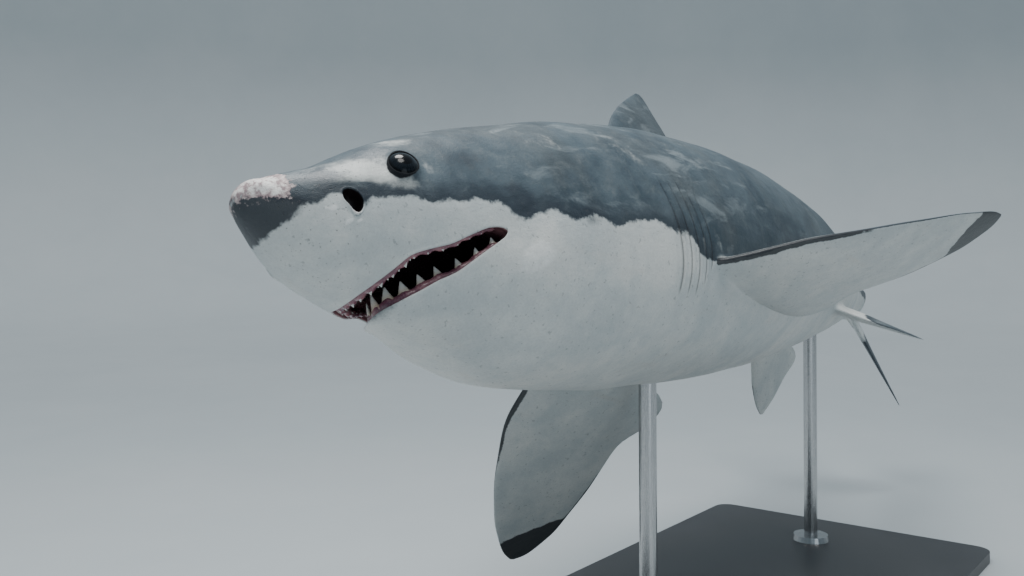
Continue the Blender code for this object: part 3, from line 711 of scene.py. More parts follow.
def paired_frame(root, side, droop, pitch, sweep):
    """The frame of a pectoral or pelvic fin."""
    x = Vector((1, 0, 0))
    out = Vector((0, side * cos(droop), -sin(droop)))
    normal = Vector((0, side * sin(droop), cos(droop)))
    back = cos(pitch) * x - sin(pitch) * normal
    lift = sin(pitch) * x + cos(pitch) * normal
    swept_back = cos(sweep) * back - sin(sweep) * out
    swept_out = sin(sweep) * back + cos(sweep) * out
    return set_frame(Vector(root) * Vector((1, side, 1)), swept_back, lift, swept_out)


def middle_frame(along, up, direction):
    """The frame of a fin in the middle plane, pointing up (1) or down (-1)."""
    centre, heading = spine(along)
    back = Vector((cos(heading), sin(heading), 0))
    aside = Vector((-sin(heading), cos(heading), 0))
    return set_frame(centre + Vector((0, 0, up)), back, aside, Vector((0, 0, direction)))


def all_fins():
    fins = []
    for name, place, up, direction in (
            ("dorsal", DORSAL_PLACE, top_of(DORSAL_PLACE + 0.04) - 0.003, 1),
            ("second_dorsal", SECOND_DORSAL_PLACE, top_of(SECOND_DORSAL_PLACE + 0.005), 1),
            ("anal", ANAL_PLACE, -belly_of(ANAL_PLACE + 0.005), -1),
            ("caudal_upper", CAUDAL_PLACE, 0.0, 1), ("caudal_lower", CAUDAL_PLACE, 0.0, -1)):
        column = HALF if direction > 0 else 0
        fins.append(Fin(name, middle_frame(place, up, direction), column, -direction))
    for name, side in SIDE_SIGN.items():
        *turned, curl = PECTORAL_SET[name]
        fins.append(Fin("pectoral_" + name, paired_frame(PECTORAL_ROOT, side, *turned),
                        side * PECTORAL_COLUMN, side, curl))
        fins.append(Fin("pelvic_" + name, paired_frame(PELVIC_ROOT, side, *PELVIC_SET),
                        side * PELVIC_COLUMN, side))
    return fins


# ------------------------------------------------------ making the skin

def new_grid(bm, columns, rows):
    """Make a grid, and give its points in turn with their column and row."""
    old = set(bm.verts)
    bmesh.ops.create_grid(bm, x_segments=columns, y_segments=rows, size=0.5)
    for vert in [v for v in bm.verts if v not in old]:
        yield vert, round((vert.co.x + 0.5) * columns), round((vert.co.y + 0.5) * rows)


class Skin:
    """The skin's mesh while it is made, with what its markings, its painted shade and its
    painted highlights need.
    """

    MARKS = ("shade", "tip", "wet", "deep", "scar", "smudge", "pale", "pores")

    def __init__(self):
        self.bm = bmesh.new()
        layers = self.bm.verts.layers
        self.row = layers.int.new("row")
        self.column = layers.int.new("column")
        self.marks = {name: layers.float.new(name) for name in self.MARKS}
        self.at = {}

    def mark(self, vert, **values):
        for name, value in values.items():
            vert[self.marks[name]] = value

    def lay(self, vert, along, angle, jaw_share=0.0):
        """Put a point on the body, with the markings of plain hide, the painted highlights among
        its patches, and the painted shade under the snout's tip.
        """
        vert.co = body_point(along, angle, jaw_share)
        up = vert.co.z / LENGTH
        line = shade_line(along) + 0.004 * max(0.0, 1 - along / 0.02)
        worn = up - 0.0048 + 0.42 * along
        scar = (1 - ease(along, 0.0110, 0.0185)) * ease(worn, -0.0025, 0.0060)
        # Painted shade under the tip of the snout, below the scar.
        smudge = ((1 - ease(along, 0.0120, 0.0245)) * (1 - ease(worn, 0.0010, 0.0055))
                  * ease(up - 0.45 * along, -0.0168, -0.0105))
        self.mark(vert, shade=(up - line) * LENGTH, smudge=smudge,
                  scar=scar * (1 if cos(angle) < 0.3 else 0.55),
                  pale=soft_sum(PATCHES, along, up), pores=1 - ease(along, 0.030, 0.075))

    def plain_points(self, highest):
        """The points of hide up to a level: (point, along, level)."""
        for vert in self.bm.verts:
            if vert[self.marks["deep"]] <= 0 and vert[self.marks["wet"]] <= 0:
                along, _, level = locate(vert.co)
                if level <= highest:
                    yield vert, along, level

    def extrude(self, ring, places, **marks):
        """Grow a ring of edges to new places, and return the new ring."""
        edges = [self.bm.edges.get(pair) for pair in zip(ring, ring[1:] + ring[:1])]
        grown = set(bmesh.ops.extrude_edge_only(self.bm, edges=edges)["geom"])
        following = []
        for vert, place in zip(ring, places):
            new = next(e.other_vert(vert) for e in vert.link_edges
                       if e.other_vert(vert) in grown)
            new.co = place
            self.mark(new, **marks)
            following.append(new)
        return following

    def close_seam(self, ring):
        """Press a ring flat, from its first point to the opposite one."""
        half = len(ring) // 2
        for vert, partner in zip(ring[1:half], ring[:half:-1]):
            vert.co = partner.co = (vert.co + partner.co) / 2
        bmesh.ops.remove_doubles(self.bm, verts=ring, dist=WELD)

    def open_hole(self, ring):
        """Delete the faces inside an opening, and return its ring of points."""
        rows = [row for row, _ in ring]
        columns = {column for _, column in ring}
        inside = []
        for row in range(min(rows), max(rows)):
            for column in columns:
                following = (column + 1) % COLUMNS
                if following in columns:
                    corners = {self.at[row + r, c] for r in (0, 1) for c in (column, following)}
                    inside += [face for face in self.at[row, column].link_faces
                               if corners == set(face.verts)]
        bmesh.ops.delete(self.bm, geom=inside, context="FACES")
        return [self.at[key] for key in ring]

    def open_slit(self, row, columns):
        """Cut the grid along part of a row.

        Returns the rims ahead and behind, which share their end points.
        """
        line = [self.at[row, column] for column in columns]
        edges = [self.bm.edges.get(pair) for pair in zip(line, line[1:])]
        bmesh.ops.split_edges(self.bm, edges=edges)
        ahead = {}
        behind = {}
        for vert in self.bm.verts:
            if vert[self.row] == row:
                rows = [v[self.row] for face in vert.link_faces for v in face.verts]
                if min(rows) < row:
                    ahead[vert[self.column]] = vert
                if max(rows) > row:
                    behind[vert[self.column]] = vert
        return [[rim[column] for column in columns] for rim in (ahead, behind)]


def grow_grid(skin, places):
    """Lay the grid on the body, with a square patch over the snout's tip."""
    for vert, column, row in new_grid(skin.bm, COLUMNS, ROWS):
        column %= COLUMNS
        vert[skin.row] = row
        vert[skin.column] = column
        jaw_share = 1.0 if row > MOUTH_ROW else 0.0
        if row <= MOUTH_ROW + JAW_ROWS and CORNER_COLUMN < column < COLUMNS - CORNER_COLUMN:
            jaw_share = max(0.0, (row - MOUTH_ROW) / JAW_ROWS)
        skin.lay(vert, *places[row, column], jaw_share)
        if row == ROWS:
            # The last row lies in the middle plane, where it is welded.
            vert.co.xy = (spine(locate(vert.co)[0])[0] * LENGTH).xy
    side = COLUMNS // 4
    for vert, column, row in new_grid(skin.bm, side, side):
        vert[skin.row] = -1
        u = 2 * column / side - 1
        v = 2 * row / side - 1
        reach = max(abs(u), abs(v))
        angle = base_angle(square_column(u / reach, v / reach)) if reach else 0.0
        skin.lay(vert, CAP_PLACE * reach * reach, angle)
    bmesh.ops.remove_doubles(skin.bm, verts=skin.bm.verts, dist=2 * WELD)
    skin.at = {(v[skin.row], v[skin.column]): v for v in skin.bm.verts if v[skin.row] >= 0}


def square_column(u, v):
    """The grid column at a point on the border of the snout's patch."""
    quarter = COLUMNS / 4
    if v <= -1:
        return u * quarter / 2
    if u >= 1:
        return quarter + v * quarter / 2
    if v >= 1:
        return 2 * quarter - u * quarter / 2
    return 3 * quarter - v * quarter / 2


def jaw_floor(place):
    """The height of the lower jaw's skin under a point, in metres."""
    along = place.x / LENGTH
    power = squareness_of(along)
    half_width = side_of(along) * (1 - narrowing(along, -1))
    across = min(1.0, abs(place.y) / LENGTH / half_width)
    return -jaw_of(along) * (1 - across ** power) ** (1 / power) * LENGTH


def grow_mouth(skin, lower):
    """Open the mouth, roll its lips and line it back to the throat."""
    columns = range(-CORNER_COLUMN, CORNER_COLUMN + 1)
    keys = [column % COLUMNS for column in columns]
    ahead, behind = skin.open_slit(MOUTH_ROW, keys)
    for key, vert in zip(keys[1:-1], behind[1:-1]):
        skin.lay(vert, *lower[key], 1.0)
    ring = ahead + behind[-2:0:-1]
    rims = [("upper", column) for column in columns]
    rims += [("lower", column) for column in columns[-2:0:-1]]
    for level, (wet, deep, inward, *closing) in enumerate(LINING):
        closing = dict(zip(LIPS, closing))
        places = []
        for jaw, column in rims:
            share = abs(column) / CORNER_COLUMN
            _, _, place, out = rim_at(jaw, share, -1 if column < 0 else 1)
            near_corner = ease(share, 0.72, 1.0)
            place -= out * (inward * (1 - 0.35 * near_corner))
            place.z += UPWARD[jaw] * closing[jaw] * (1 - near_corner)
            if jaw == "lower" and level >= LIP_RINGS:
                place.z = max(place.z, jaw_floor(place) + JAW_WALL)
            places.append(place)
        ring = skin.extrude(ring, places, wet=wet, deep=deep)
    # The throat closes in, dark all through with painted shade.
    throat = Vector(THROAT) * LENGTH
    for pull in THROAT_PULLS:
        places = [vert.co.lerp(throat, pull) for vert in ring]
        ring = skin.extrude(ring, places, wet=1, deep=1)
    skin.close_seam(ring)


def gill_slits():
    """Each slit on each side: its row, its place along and its columns."""
    for side in SIDE_SIGN.values():
        for row, (along, high, low) in zip(GILL_ROWS, GILL_SLITS):
            first, last = (round((angle_at(along, up) / pi + 0.5) * HALF)
                           for up in (low, high))
            yield row, along, [side * column % COLUMNS for column in range(first, last + 1)]


def grow_gills(skin):
    """Cut the gill slits: a flap's edge, then a pocket under it."""
    for row, _, columns in gill_slits():
        ahead, behind = skin.open_slit(row, columns)
        skin.bm.normal_update()
        last = len(columns) - 1
        opened = [sin(pi * i / last) ** 0.6 for i in range(last + 1)]
        outs = [vert.normal * share for vert, share in zip(ahead, opened)]
        for i in range(1, last):
            ahead[i].co += outs[i] * FLAP_OUT
            behind[i].co -= outs[i] * SLIT_IN
            ahead[i].co.x += FLAP_BACK * opened[i]
            behind[i].co.x += SLIT_BACK * opened[i]
        ring, opposite, outs, opened = (
            a + b[-2:0:-1] for a, b in ((ahead, behind), (behind, ahead), (outs, outs),
                                        (opened, opened)))
        # Painted shade along both rims, so that the slit reads as a dark line.
        for vert in ring:
            skin.mark(vert, deep=SLIT_RECESS_SHADE)
        rim = [(vert.co.copy(), (vert.co + other.co) / 2) for vert, other in zip(ring, opposite)]
        for depth, forward, closing, deep in POCKET:
            places = []
            for (edge, middle), out, share in zip(rim, outs, opened):
                place = edge.lerp(middle, closing) - out * depth
                place.x -= forward * share
                places.append(place)
            ring = skin.extrude(ring, places, deep=deep)
        bmesh.ops.remove_doubles(skin.bm, verts=ring, dist=WELD)


def gill_pins():
    """Where the grid meets the slits, which rake and bow a little."""
    pins = {}
    for row, along, columns in gill_slits():
        for i, column in enumerate(columns):
            part = 1 - i / (len(columns) - 1)
            bow = GILL_BOW * sin(pi * part)
            pins[row, column] = along + GILL_RAKE * (part - 0.5) + bow, base_angle(column)
    return pins


def eye_frame(side):
    """The eyeball's frame: X along the lids' slant and Z outward."""
    place, out = on_skin(EYE_PLACE, side)
    slant = Vector(EYE_SLANT)
    slant = (slant - out * slant.dot(out)).normalized()
    return (Matrix.Translation(place - out * (EYE_RADIUS - EYE_SHOWS))
            @ axes(slant, out.cross(slant), out))


def eye_ring(side, count):
    """Places on the skin round the eye's opening."""
    centre, _ = on_skin(EYE_PLACE, 1)
    middle_angle = angle_at(*EYE_PLACE)

    def at(turn, reach):
        return (EYE_PLACE[0] - cos(turn) * reach,
                middle_angle + sin(turn) * reach * ANGLE_PER_STEP)

    def place(turn):
        reach = last_inside(
            lambda r: (body_point(*at(turn, r)) - centre).length < EYE_OPENING, 0.0, 0.03)
        along, angle = at(turn, reach)
        return along, mirrored(angle, side)

    return [place(turn) for turn in turns_round(count)]


def nostril_ring(side, count):
    """Places on the skin round the slanting nostril."""
    along, up = NOSTRIL_PLACE
    middle_angle = angle_at(along, up)
    angle_per_height = (angle_at(along, up + 0.004) - angle_at(along, up - 0.004)) / 0.008
    long, wide = NOSTRIL_REACH
    places = []
    for turn in turns_round(count):
        # An egg, wider at its upper end, by its reach in each direction.
        off_axis = turn - radians(NOSTRIL_SLANT)
        reach = long * wide / hypot(wide * cos(off_axis), long * sin(off_axis))
        z = reach * sin(turn)
        x = -reach * cos(turn) * (1 + NOSTRIL_WIDENS * z)
        places.append((along + x, mirrored(middle_angle + angle_per_height * z, side)))
    return places


def grow_eye_socket(skin, side, ring):
    """Lids round the eye, and the socket that the ball sits in."""
    here = eye_frame(side)
    local = here.inverted()
    verts = skin.open_hole(ring)
    turns = [atan2(*(local @ v.co).yx) for v in verts]
    # Each ring: (radius from the eye's axis, height above the ball's middle,
    # how much painted shade darkens it, share by which it is squeezed). The lids come first.
    rise = EYE_RADIUS - EYE_SHOWS
    profile = [(radius, rise + height, deep, LID_SQUEEZE) for radius, height, deep in (
        (0.0355, 0.0016, 0.0), (0.0325, 0.0042, 0.0),
        (0.0304, 0.0044, 0.0), (0.0294, 0.0022, 1.0))]
    socket = EYE_RADIUS + SOCKET_GAP
    for turn in map(radians, (50, 75, 105, 140, 172)):
        profile.append((socket * sin(turn), socket * cos(turn), 1.0, 0.0))
    for radius, height, deep, squeeze in profile:
        places = []
        for turn in turns:
            reach = radius * (1 - squeeze * sin(turn) ** 2)
            places.append(here @ Vector((cos(turn) * reach, sin(turn) * reach,
                                         height)))
        verts = skin.extrude(verts, places, deep=deep)
    bmesh.ops.pointmerge(skin.bm, verts=verts, merge_co=here @ Vector((0, 0, -socket)))


def grow_nostril(skin, side, ring):
    """A slanting slit with a small flap over its front end."""
    _, out = on_skin(NOSTRIL_PLACE, side)
    verts = skin.open_hole(ring)
    middle = sum((v.co for v in verts), Vector()) / len(verts)
    count = len(verts)
    rim = [v.co.copy() for v in verts]
    # Each ring: how far it closes in, how far in it lies, and how much painted shade darkens it.
    for squeeze, depth, deep in ((0.06, -0.0012, 0.0), (0.14, -0.0006, 0.3),
                                 (0.18, 0.003, 0.95), (0.20, 0.013, 1.0),
                                 (0.40, 0.024, 1.0), (0.8, 0.030, 1.0)):
        places = []
        for k, place in enumerate(rim):
            flap = hump(k, count * 0.84, 1.8) if depth < 0.001 else 0.0
            nub = hump(k, count * 0.76, 0.6) if depth < -0.001 else 0.0
            places.append(place.lerp(middle, squeeze + 0.14 * flap - 0.25 * nub)
                          + out * (0.0040 * flap + 0.0060 * nub - depth))
        verts = skin.extrude(verts, places, deep=deep)
        if depth < 0.001:
            # The rim's rear end: pale belly hide, a little wet and painted shade, and a painted
            # highlight on the nub.
            for k in range(count * 2 // 3, count):
                skin.mark(verts[k], shade=-0.02, wet=0.42, deep=0.10,
                          pale=2.0 * hump(k, count * 0.76, 0.6))
    bmesh.ops.pointmerge(skin.bm, verts=verts, merge_co=middle - out * 0.033)


def grow_fin(skin, fin, ring):
    """Raise a fin out of its opening, ring by ring, to a closed tip."""
    verts = skin.open_hole(ring)
    turns = turns_round(len(verts))
    roots = [fin.root(turn)[1] for turn in turns]
    hide = [vert[skin.marks["shade"]] for vert in verts]
    fillet = SMALL_FILLET if fin.high < SMALL_FIN else FIN_FILLET
    # Each ring: (height where it would start, share of the way to the tip from
    # there, share of the margins, how far its markings are the fin's own).
    rings = [(0.35 * fillet, 0.0, 0.30, 0.1)]
    for level in range(fin.rings):
        rings.append((fillet, 1 - (1 - level / (fin.rings - 1)) ** 1.5, 0.0,
                      min(1.0, 0.25 + level / 5)))
    for height, part, spread, own in rings:
        places = []
        for turn, foot in zip(turns, roots):
            start = foot + height
            out = start + (fin.high - start) * part
            places.append(fin.point(turn, out, spread, foot))
        verts = skin.extrude(verts, places, scar=0, smudge=0)
        for vert, turn, before in zip(verts, turns, hide):
            shade, tip, pale = fin.markings(turn, part)
            skin.mark(vert, shade=before + (shade - before) * own, tip=tip, pale=pale)
    skin.close_seam(verts)


def anatomy(along, up, aside):
    """How far the skin stands out from the plain body here, in metres.

    aside is the distance from the middle plane, as a fraction of LENGTH.
    """
    lift = soft_sum(SWELLINGS, along, up)
    # The worn dent on the tip of the snout.
    lift -= 0.0038 * hump(along, 0.0058, 0.0030) * ease(up, 0.006, 0.010)
    # The furrow that runs back from the mouth's corner.
    furrow = -0.0264 - 1.05 * (along - 0.1098)
    lift -= (0.0065 * ease(along, 0.1050, 0.1110) * (1 - ease(along, 0.1130, 0.1260))
             * hump(up, furrow, 0.0020))
    # The swell of each gill's cover.
    if 0.215 < along < 0.275 and up < 0.02:
        fade = ease(up, -0.066, -0.050) * (1 - ease(up, -0.004, 0.010))
        for place, _, _ in GILL_SLITS:
            lift += 0.0042 * fade * hump(along, place - 0.0040, 0.0032)
    # The notches above and below the tail's stem, ahead of the tail fin.
    lift -= 0.010 * hump(along, 0.832, 0.004) * (1 - ease(abs(aside), 0.004, 0.012))
    # Slow unevenness over the whole body.
    place = Vector((along * 26, up * 40, aside * 40))
    lift += 0.0022 * noise.noise(place) * ease(along, 0.02, 0.10)
    lift += 0.0009 * noise.noise(place * 3.1) * ease(along, 0.01, 0.05)
    return lift


def shape_anatomy(skin):
    """Press the anatomy into the body's own grid points."""
    skin.bm.normal_update()
    flush, off_body = BODY_LEVELS
    for vert, along, level in skin.plain_points(off_body):
        place = vert.co / LENGTH
        lift = anatomy(along, place.z, place.y - spine(along)[0].y)
        vert.co += vert.normal * lift * (1 - ease(level, flush, off_body))


def soften_corners(skin):
    """Smooth out the crease that the grid leaves above the mouth's corners."""
    region = [vert for vert, along, _ in skin.plain_points(1.3)
              if 0.080 < along < 0.128 and -0.034 < vert.co.z / LENGTH < -0.004]
    for _ in range(CORNER_ROUNDS):
        bmesh.ops.smooth_vert(skin.bm, verts=region, factor=0.5,
                              use_axis_x=True, use_axis_y=True, use_axis_z=True)


def build_skin():
    """The whole animal's skin, as one closed mesh."""
    places, lower = base_grid()
    pins = gill_pins()
    holes = []
    for fin in all_fins():
        roots = [fin.root(turn)[0] for turn in turns_round(len(fin.opening))]
        pins.update(zip(fin.opening, roots))
        holes.append((grow_fin, fin, fin.opening))
    for side in SIDE_SIGN.values():
        for make, place, rows, half, ring_round in (
                (grow_eye_socket, EYE_PLACE, 3, 3, eye_ring),
                (grow_nostril, NOSTRIL_PLACE, 2, 1, nostril_ring)):
            row, column = nearest_cell(places, place[0], mirrored(angle_at(*place), side))
            ring = opening(row - rows, row + rows, column, half, side)
            pins.update(zip(ring, ring_round(side, len(ring))))
            holes.append((make, side, ring))

    skin = Skin()
    grow_grid(skin, relax(places, pins))
    grow_mouth(skin, lower)
    grow_gills(skin)
    for make, what, ring in holes:
        make(skin, what, ring)
    shape_anatomy(skin)
    soften_corners(skin)
    bm = skin.bm
    for name in ("row", "column"):
        bm.verts.layers.int.remove(bm.verts.layers.int[name])
    open_edges = sum(1 for edge in bm.edges if edge.is_boundary)
    print("skin: faces", len(bm.faces), "open edges", open_edges)
    bmesh.ops.recalc_face_normals(bm, faces=bm.faces)
    return bm


# --------------------------------------------------------------- objects

def link(thing):
    """Add a new object to the scene."""
    bpy.context.scene.collection.objects.link(thing)
    return thing


def add_object(name, bm, material):
    """Make a bmesh a smooth object of one material."""
    mesh = bpy.data.meshes.new(name)
    bm.to_mesh(mesh)
    bm.free()
    mesh.shade_smooth()
    mesh.materials.append(material)
    return link(bpy.data.objects.new(name, mesh))


def finish_piece(name, bm, material, replaces=(), levels=0):
    """Pose a bmesh, as a piece that rides on the model's one body."""
    bmesh.ops.transform(bm, matrix=pose_matrix(), verts=bm.verts)
    piece = add_object(name, bm, material)
    if levels:
        rounded = piece.modifiers.new("Rounded", "SUBSURF")
        rounded.levels = levels
        rounded.render_levels = levels
    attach(piece, "root")
    if replaces:
        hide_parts(*replaces)


# ----------------------------------------------------------- teeth, gums

TEETH_PER_SIDE = {"upper": 10, "lower": 7}
TEETH_REACH = {"upper": 0.86, "lower": 0.92}
TEETH_INSET = 0.0172
TEETH_SHRINK = 0.56
TOOTH_HEIGHT = {"upper": 0.019, "lower": 0.040}
TOOTH_WIDTH = {"upper": 0.027, "lower": 0.040}
TOOTH_RINGS = 9
TOOTH_SIDES = 8
TEETH_SEED = {"upper": 11, "lower": 7}
# The rows of teeth: (how far in from the standing row, lean, size). The second
# is folded flat behind the first.
TEETH_ROWS = ((0.0, 0.06, 1.0), (0.009, -0.50, 0.72))
GUM_RISE = {"upper": -0.0060, "lower": 0.0130}
GUM_TALL = {"upper": 0.0108, "lower": 0.0118}
GUM_SIDES = 14
GUM_STEPS = 220
GUM_REACH = 0.965


def close_parts(bm):
    """Weld the seams of rolled-up grids, and cap their ends."""
    bmesh.ops.remove_doubles(bm, verts=bm.verts, dist=1e-6)
    loose = [edge for edge in bm.edges if edge.is_boundary]
    bmesh.ops.holes_fill(bm, edges=loose, sides=0)
    bmesh.ops.recalc_face_normals(bm, faces=bm.faces)


def gum_rise(jaw, share):
    """How far the gum stands over the rim, which is less at the corners."""
    return GUM_RISE[jaw] * (1 - 0.6 * share)


def tooth_frame(jaw, share, side, inset, seat, lean):
    """A tooth's frame in the body frame: X outward, Y along the jaw, Z up."""
    _, _, place, out = rim_at(jaw, share, side)
    up = Vector((0, 0, UPWARD[jaw]))
    return (Matrix.Translation(place - out * inset) @ axes(out, up.cross(out).normalized(), up)
            @ Matrix.Rotation(lean, 4, "Y") @ Matrix.Translation((0, 0, seat)))


def grow_tooth(bm, here, width, height, layer, chance):
    """One serrated blade with a broad foot, flatter on its outer face."""
    lean = chance.uniform(-0.10, 0.10)
    for vert, column, ring in new_grid(bm, TOOTH_SIDES, TOOTH_RINGS):
        turn = 2 * pi * column / TOOTH_SIDES
        part = ring / TOOTH_RINGS
        wide = (1 - part) ** 0.86 * (0.80 + 0.20 * (1 - part) ** 2)
        wide += 0.16 * hump(part, 0.06, 0.10)
        notch = 0.030 * (-1) ** ring * ease(part, 0.18, 0.3) * (1 - part)
        wide = max(wide + notch, 0.0) * width / 2
        thick = (0.0046 * (1 - part) ** 0.7 + 0.0003) * width / 0.022
        across = cos(turn) * wide + lean * height * part ** 1.5
        depth = sin(turn) * thick * (0.45 if sin(turn) > 0 else 0.75)
        if part == 1:
            across = lean * height
            depth = 0.0
        vert[layer] = part
        bend = 0.10 * height * part * part
        vert.co = here @ Vector((depth - bend, across, part * height))


def build_teeth(jaw, material):
    """The rows of teeth along one jaw."""
    bm = bmesh.new()
    layer = bm.verts.layers.float.new("crown")
    chance = random.Random(TEETH_SEED[jaw])
    count = TEETH_PER_SIDE[jaw]
    for side in SIDE_SIGN.values():
        for row, (behind, lean, shrink) in enumerate(TEETH_ROWS):
            for i in range(count):
                share = min(1.0, (i + 0.5 + 0.4 * row) / count)
                size = (1 - TEETH_SHRINK * share) * shrink * chance.uniform(0.93, 1.07)
                tilt = lean + chance.uniform(-0.06, 0.06)
                seat = gum_rise(jaw, share) - 0.003 * row
                here = tooth_frame(jaw, share * TEETH_REACH[jaw], side,
                                   TEETH_INSET + behind, seat, tilt)
                grow_tooth(bm, here, TOOTH_WIDTH[jaw] * size, TOOTH_HEIGHT[jaw] * size,
                           layer, chance)
    close_parts(bm)
    finish_piece("teeth_" + jaw, bm, material)


def build_gum(jaw, material):
    """A soft ridge that swells round the foot of each tooth."""
    bm = bmesh.new()
    for vert, column, step in new_grid(bm, GUM_SIDES, GUM_STEPS):
        turn = 2 * pi * column / GUM_SIDES
        part = step / GUM_STEPS * 2 - 1
        share = abs(part) * GUM_REACH
        _, _, place, out = rim_at(jaw, share, -1 if part < 0 else 1)
        place -= out * (TEETH_INSET + 0.003)
        beat = cos(2 * pi * share / TEETH_REACH[jaw] * TEETH_PER_SIDE[jaw])
        fade = (1 - ease(share, 0.84, GUM_REACH)) ** 0.7
        size = (1 - 0.45 * share) * fade + 0.05
        wide = 0.0088 * size * (1 - 0.14 * beat)
        tall = (GUM_TALL[jaw] - 0.0022 * beat) * size
        rise = gum_rise(jaw, share) * fade - 0.008 * (1 - fade)
        place += out * cos(turn) * wide
        place.z += UPWARD[jaw] * (rise + sin(turn) * tall)
        vert.co = place + out * 0.0012 * noise.noise(place * 90)
    close_parts(bm)
    finish_piece("gum_" + jaw, bm, material)


# ------------------------------------------------------------- materials

class Nodes:
    """A short way to write a node tree: every method returns an output."""

    def __init__(self, tree):
        self.tree = tree

    def add(self, kind, inputs, output=0, **settings):
        node = self.tree.nodes.new("ShaderNode" + kind)
        for name, value in settings.items():
            setattr(node, name, value)
        for key, value in inputs.items():
            self.put(node.inputs[key], value)
        return node.outputs[output]

    def put(self, socket, value):
        if isinstance(value, bpy.types.NodeSocket):
            self.tree.links.new(value, socket)
        elif socket.type == "RGBA":
            socket.default_value = (*value, 1.0)
        else:
            socket.default_value = value

    def math(self, operation, total, *values):
        for value in values:
            total = self.add("Math", {0: total, 1: value}, operation=operation)
        return total

    def sum(self, *terms):
        return self.math("ADD", *terms)

    def times(self, *factors):
        return self.math("MULTIPLY", *factors)

    def scaled(self, value, gain):
        """(value - 0.5) * gain."""
        return self.times(self.math("SUBTRACT", value, 0.5), gain)

    def band(self, value, low, high, end=1.0, start=0.0):
        """A smooth step between two levels."""
        return self.add("MapRange", {"Value": value, "From Min": low, "From Max": high,
                                     "To Min": start, "To Max": end},
                        interpolation_type="SMOOTHSTEP")

    def mix(self, colour, *layers):
        """Lay tones over a colour, each by its share.

        A layer is (share, tone), or the band that gives its share and then
        the tone: (value, low, high, tone) or (value, low, high, end, tone).
        """
        for *band, tone in layers:
            share = self.band(*band) if len(band) > 1 else band[0]
            colour = self.add("Mix", {0: share, 6: colour, 7: tone}, 2, data_type="RGBA")
        return colour

    def noise(self, vector, scale, detail=3.0, roughness=0.55, distortion=0.0):
        return self.add("TexNoise", {"Vector": vector, "Scale": scale, "Detail": detail,
                                     "Roughness": roughness, "Distortion": distortion})

    def cells(self, vector, scale):
        return self.add("TexVoronoi", {"Vector": vector, "Scale": scale})

    def vector(self, operation, a, b=None, output=0):
        inputs = {0: a} if b is None else {0: a, 1: b}
        return self.add("VectorMath", inputs, output, operation=operation)

    def object_place(self, matrix=None):
        """Object coordinates, carried by a rigid matrix."""
        place = self.add("TexCoord", {}, 3)
        if matrix is None:
            return place
        return self.add("Mapping", {"Vector": place, "Location": matrix.to_translation(),
                                    "Rotation": matrix.to_euler("XYZ")})

    def attribute(self, name):
        return self.add("Attribute", {}, 2, attribute_name=name)

    def group(self, name, **inputs):
        return self.add("Group", inputs, node_tree=bpy.data.node_groups[name])

    def mottle(self, place, scale, contrast):
        return self.group("mottle", Place=place, Scale=scale, Contrast=contrast)

    def scratches(self, place, scale, width, slant):
        return self.group("scratches", Place=place, Scale=scale, Width=width, Slant=slant)


def new_group(name, output, **inputs):
    """An empty node group: its nodes, its input sockets and how to end it."""
    tree = bpy.data.node_groups.new(name, "ShaderNodeTree")
    for label, value in inputs.items():
        kind = "Vector" if value is None else "Float"
        socket = tree.interface.new_socket(label, in_out="INPUT",
                                           socket_type="NodeSocket" + kind)
        if value is not None:
            socket.default_value = value
    tree.interface.new_socket(output, in_out="OUTPUT", socket_type="NodeSocketFloat")
    start = tree.nodes.new("NodeGroupInput")
    end = tree.nodes.new("NodeGroupOutput")
    return Nodes(tree), start.outputs, end.inputs[0]


def make_scratches():
    """Short straight cuts along the skin, scattered: 1 on a cut, 0 off it."""
    n, given, result = new_group("scratches", "Line", Place=None, Scale=14.0,
                                 Width=0.03, Slant=None)
    turned = n.add("VectorRotate", {"Vector": given["Place"], "Rotation": given["Slant"]},
                   rotation_type="EULER_XYZ")
    off_line = n.cells(n.vector("MULTIPLY", turned, (0.055, 1.0, 1.0)), given["Scale"])
    worn = n.noise(given["Place"], 9.0, 2.0, 0.5)
    n.put(result, n.times(n.band(off_line, given["Width"], 0.0), n.band(worn, 0.44, 0.54)))


def make_mottle():
    """Cloudy patches over three sizes, from 0 to 1 and centred on a half."""
    n, given, result = new_group("mottle", "Cloud", Place=None, Scale=6.0, Contrast=1.6)
    coarse = n.noise(given["Place"], given["Scale"], 3.0, 0.6, 0.4)
    fine = n.noise(given["Place"], n.times(given["Scale"], 5.3), 4.0, 0.65)
    both = n.sum(n.scaled(coarse, 0.7), n.scaled(fine, 0.3))
    n.put(result, n.sum(n.times(both, given["Contrast"]), 0.5))


def make_hide():
    """The relief of sharkskin: tiny close scales over soft wrinkles."""
    n, given, result = new_group("hide", "Height", Place=None, Scale=420.0)
    scales = n.cells(given["Place"], given["Scale"])
    wrinkles = n.noise(given["Place"], n.times(given["Scale"], 0.16), 4.0)
    n.put(result, n.sum(n.times(scales, 0.22), n.times(wrinkles, 0.8)))


class Finish(Nodes):
    """A new material, and the nodes that feed its shader."""

    def __init__(self, name):
        self.material = bpy.data.materials.new(name)
        self.material.use_nodes = True
        super().__init__(self.material.node_tree)

    def surface(self, colour, rough, relief=None, distance=0.0, strength=1.0, **constants):
        """Feed the shader, and return the material."""
        shader = self.tree.nodes["Principled BSDF"].inputs
        self.put(shader["Base Color"], colour)
        self.put(shader["Roughness"], rough)
        if relief is not None:
            self.put(shader["Normal"], self.add(
                "Bump", {"Strength": strength, "Distance": distance, "Height": relief}))
        for name, value in constants.items():
            shader[name.replace("_", " ")].default_value = value
        return self.material


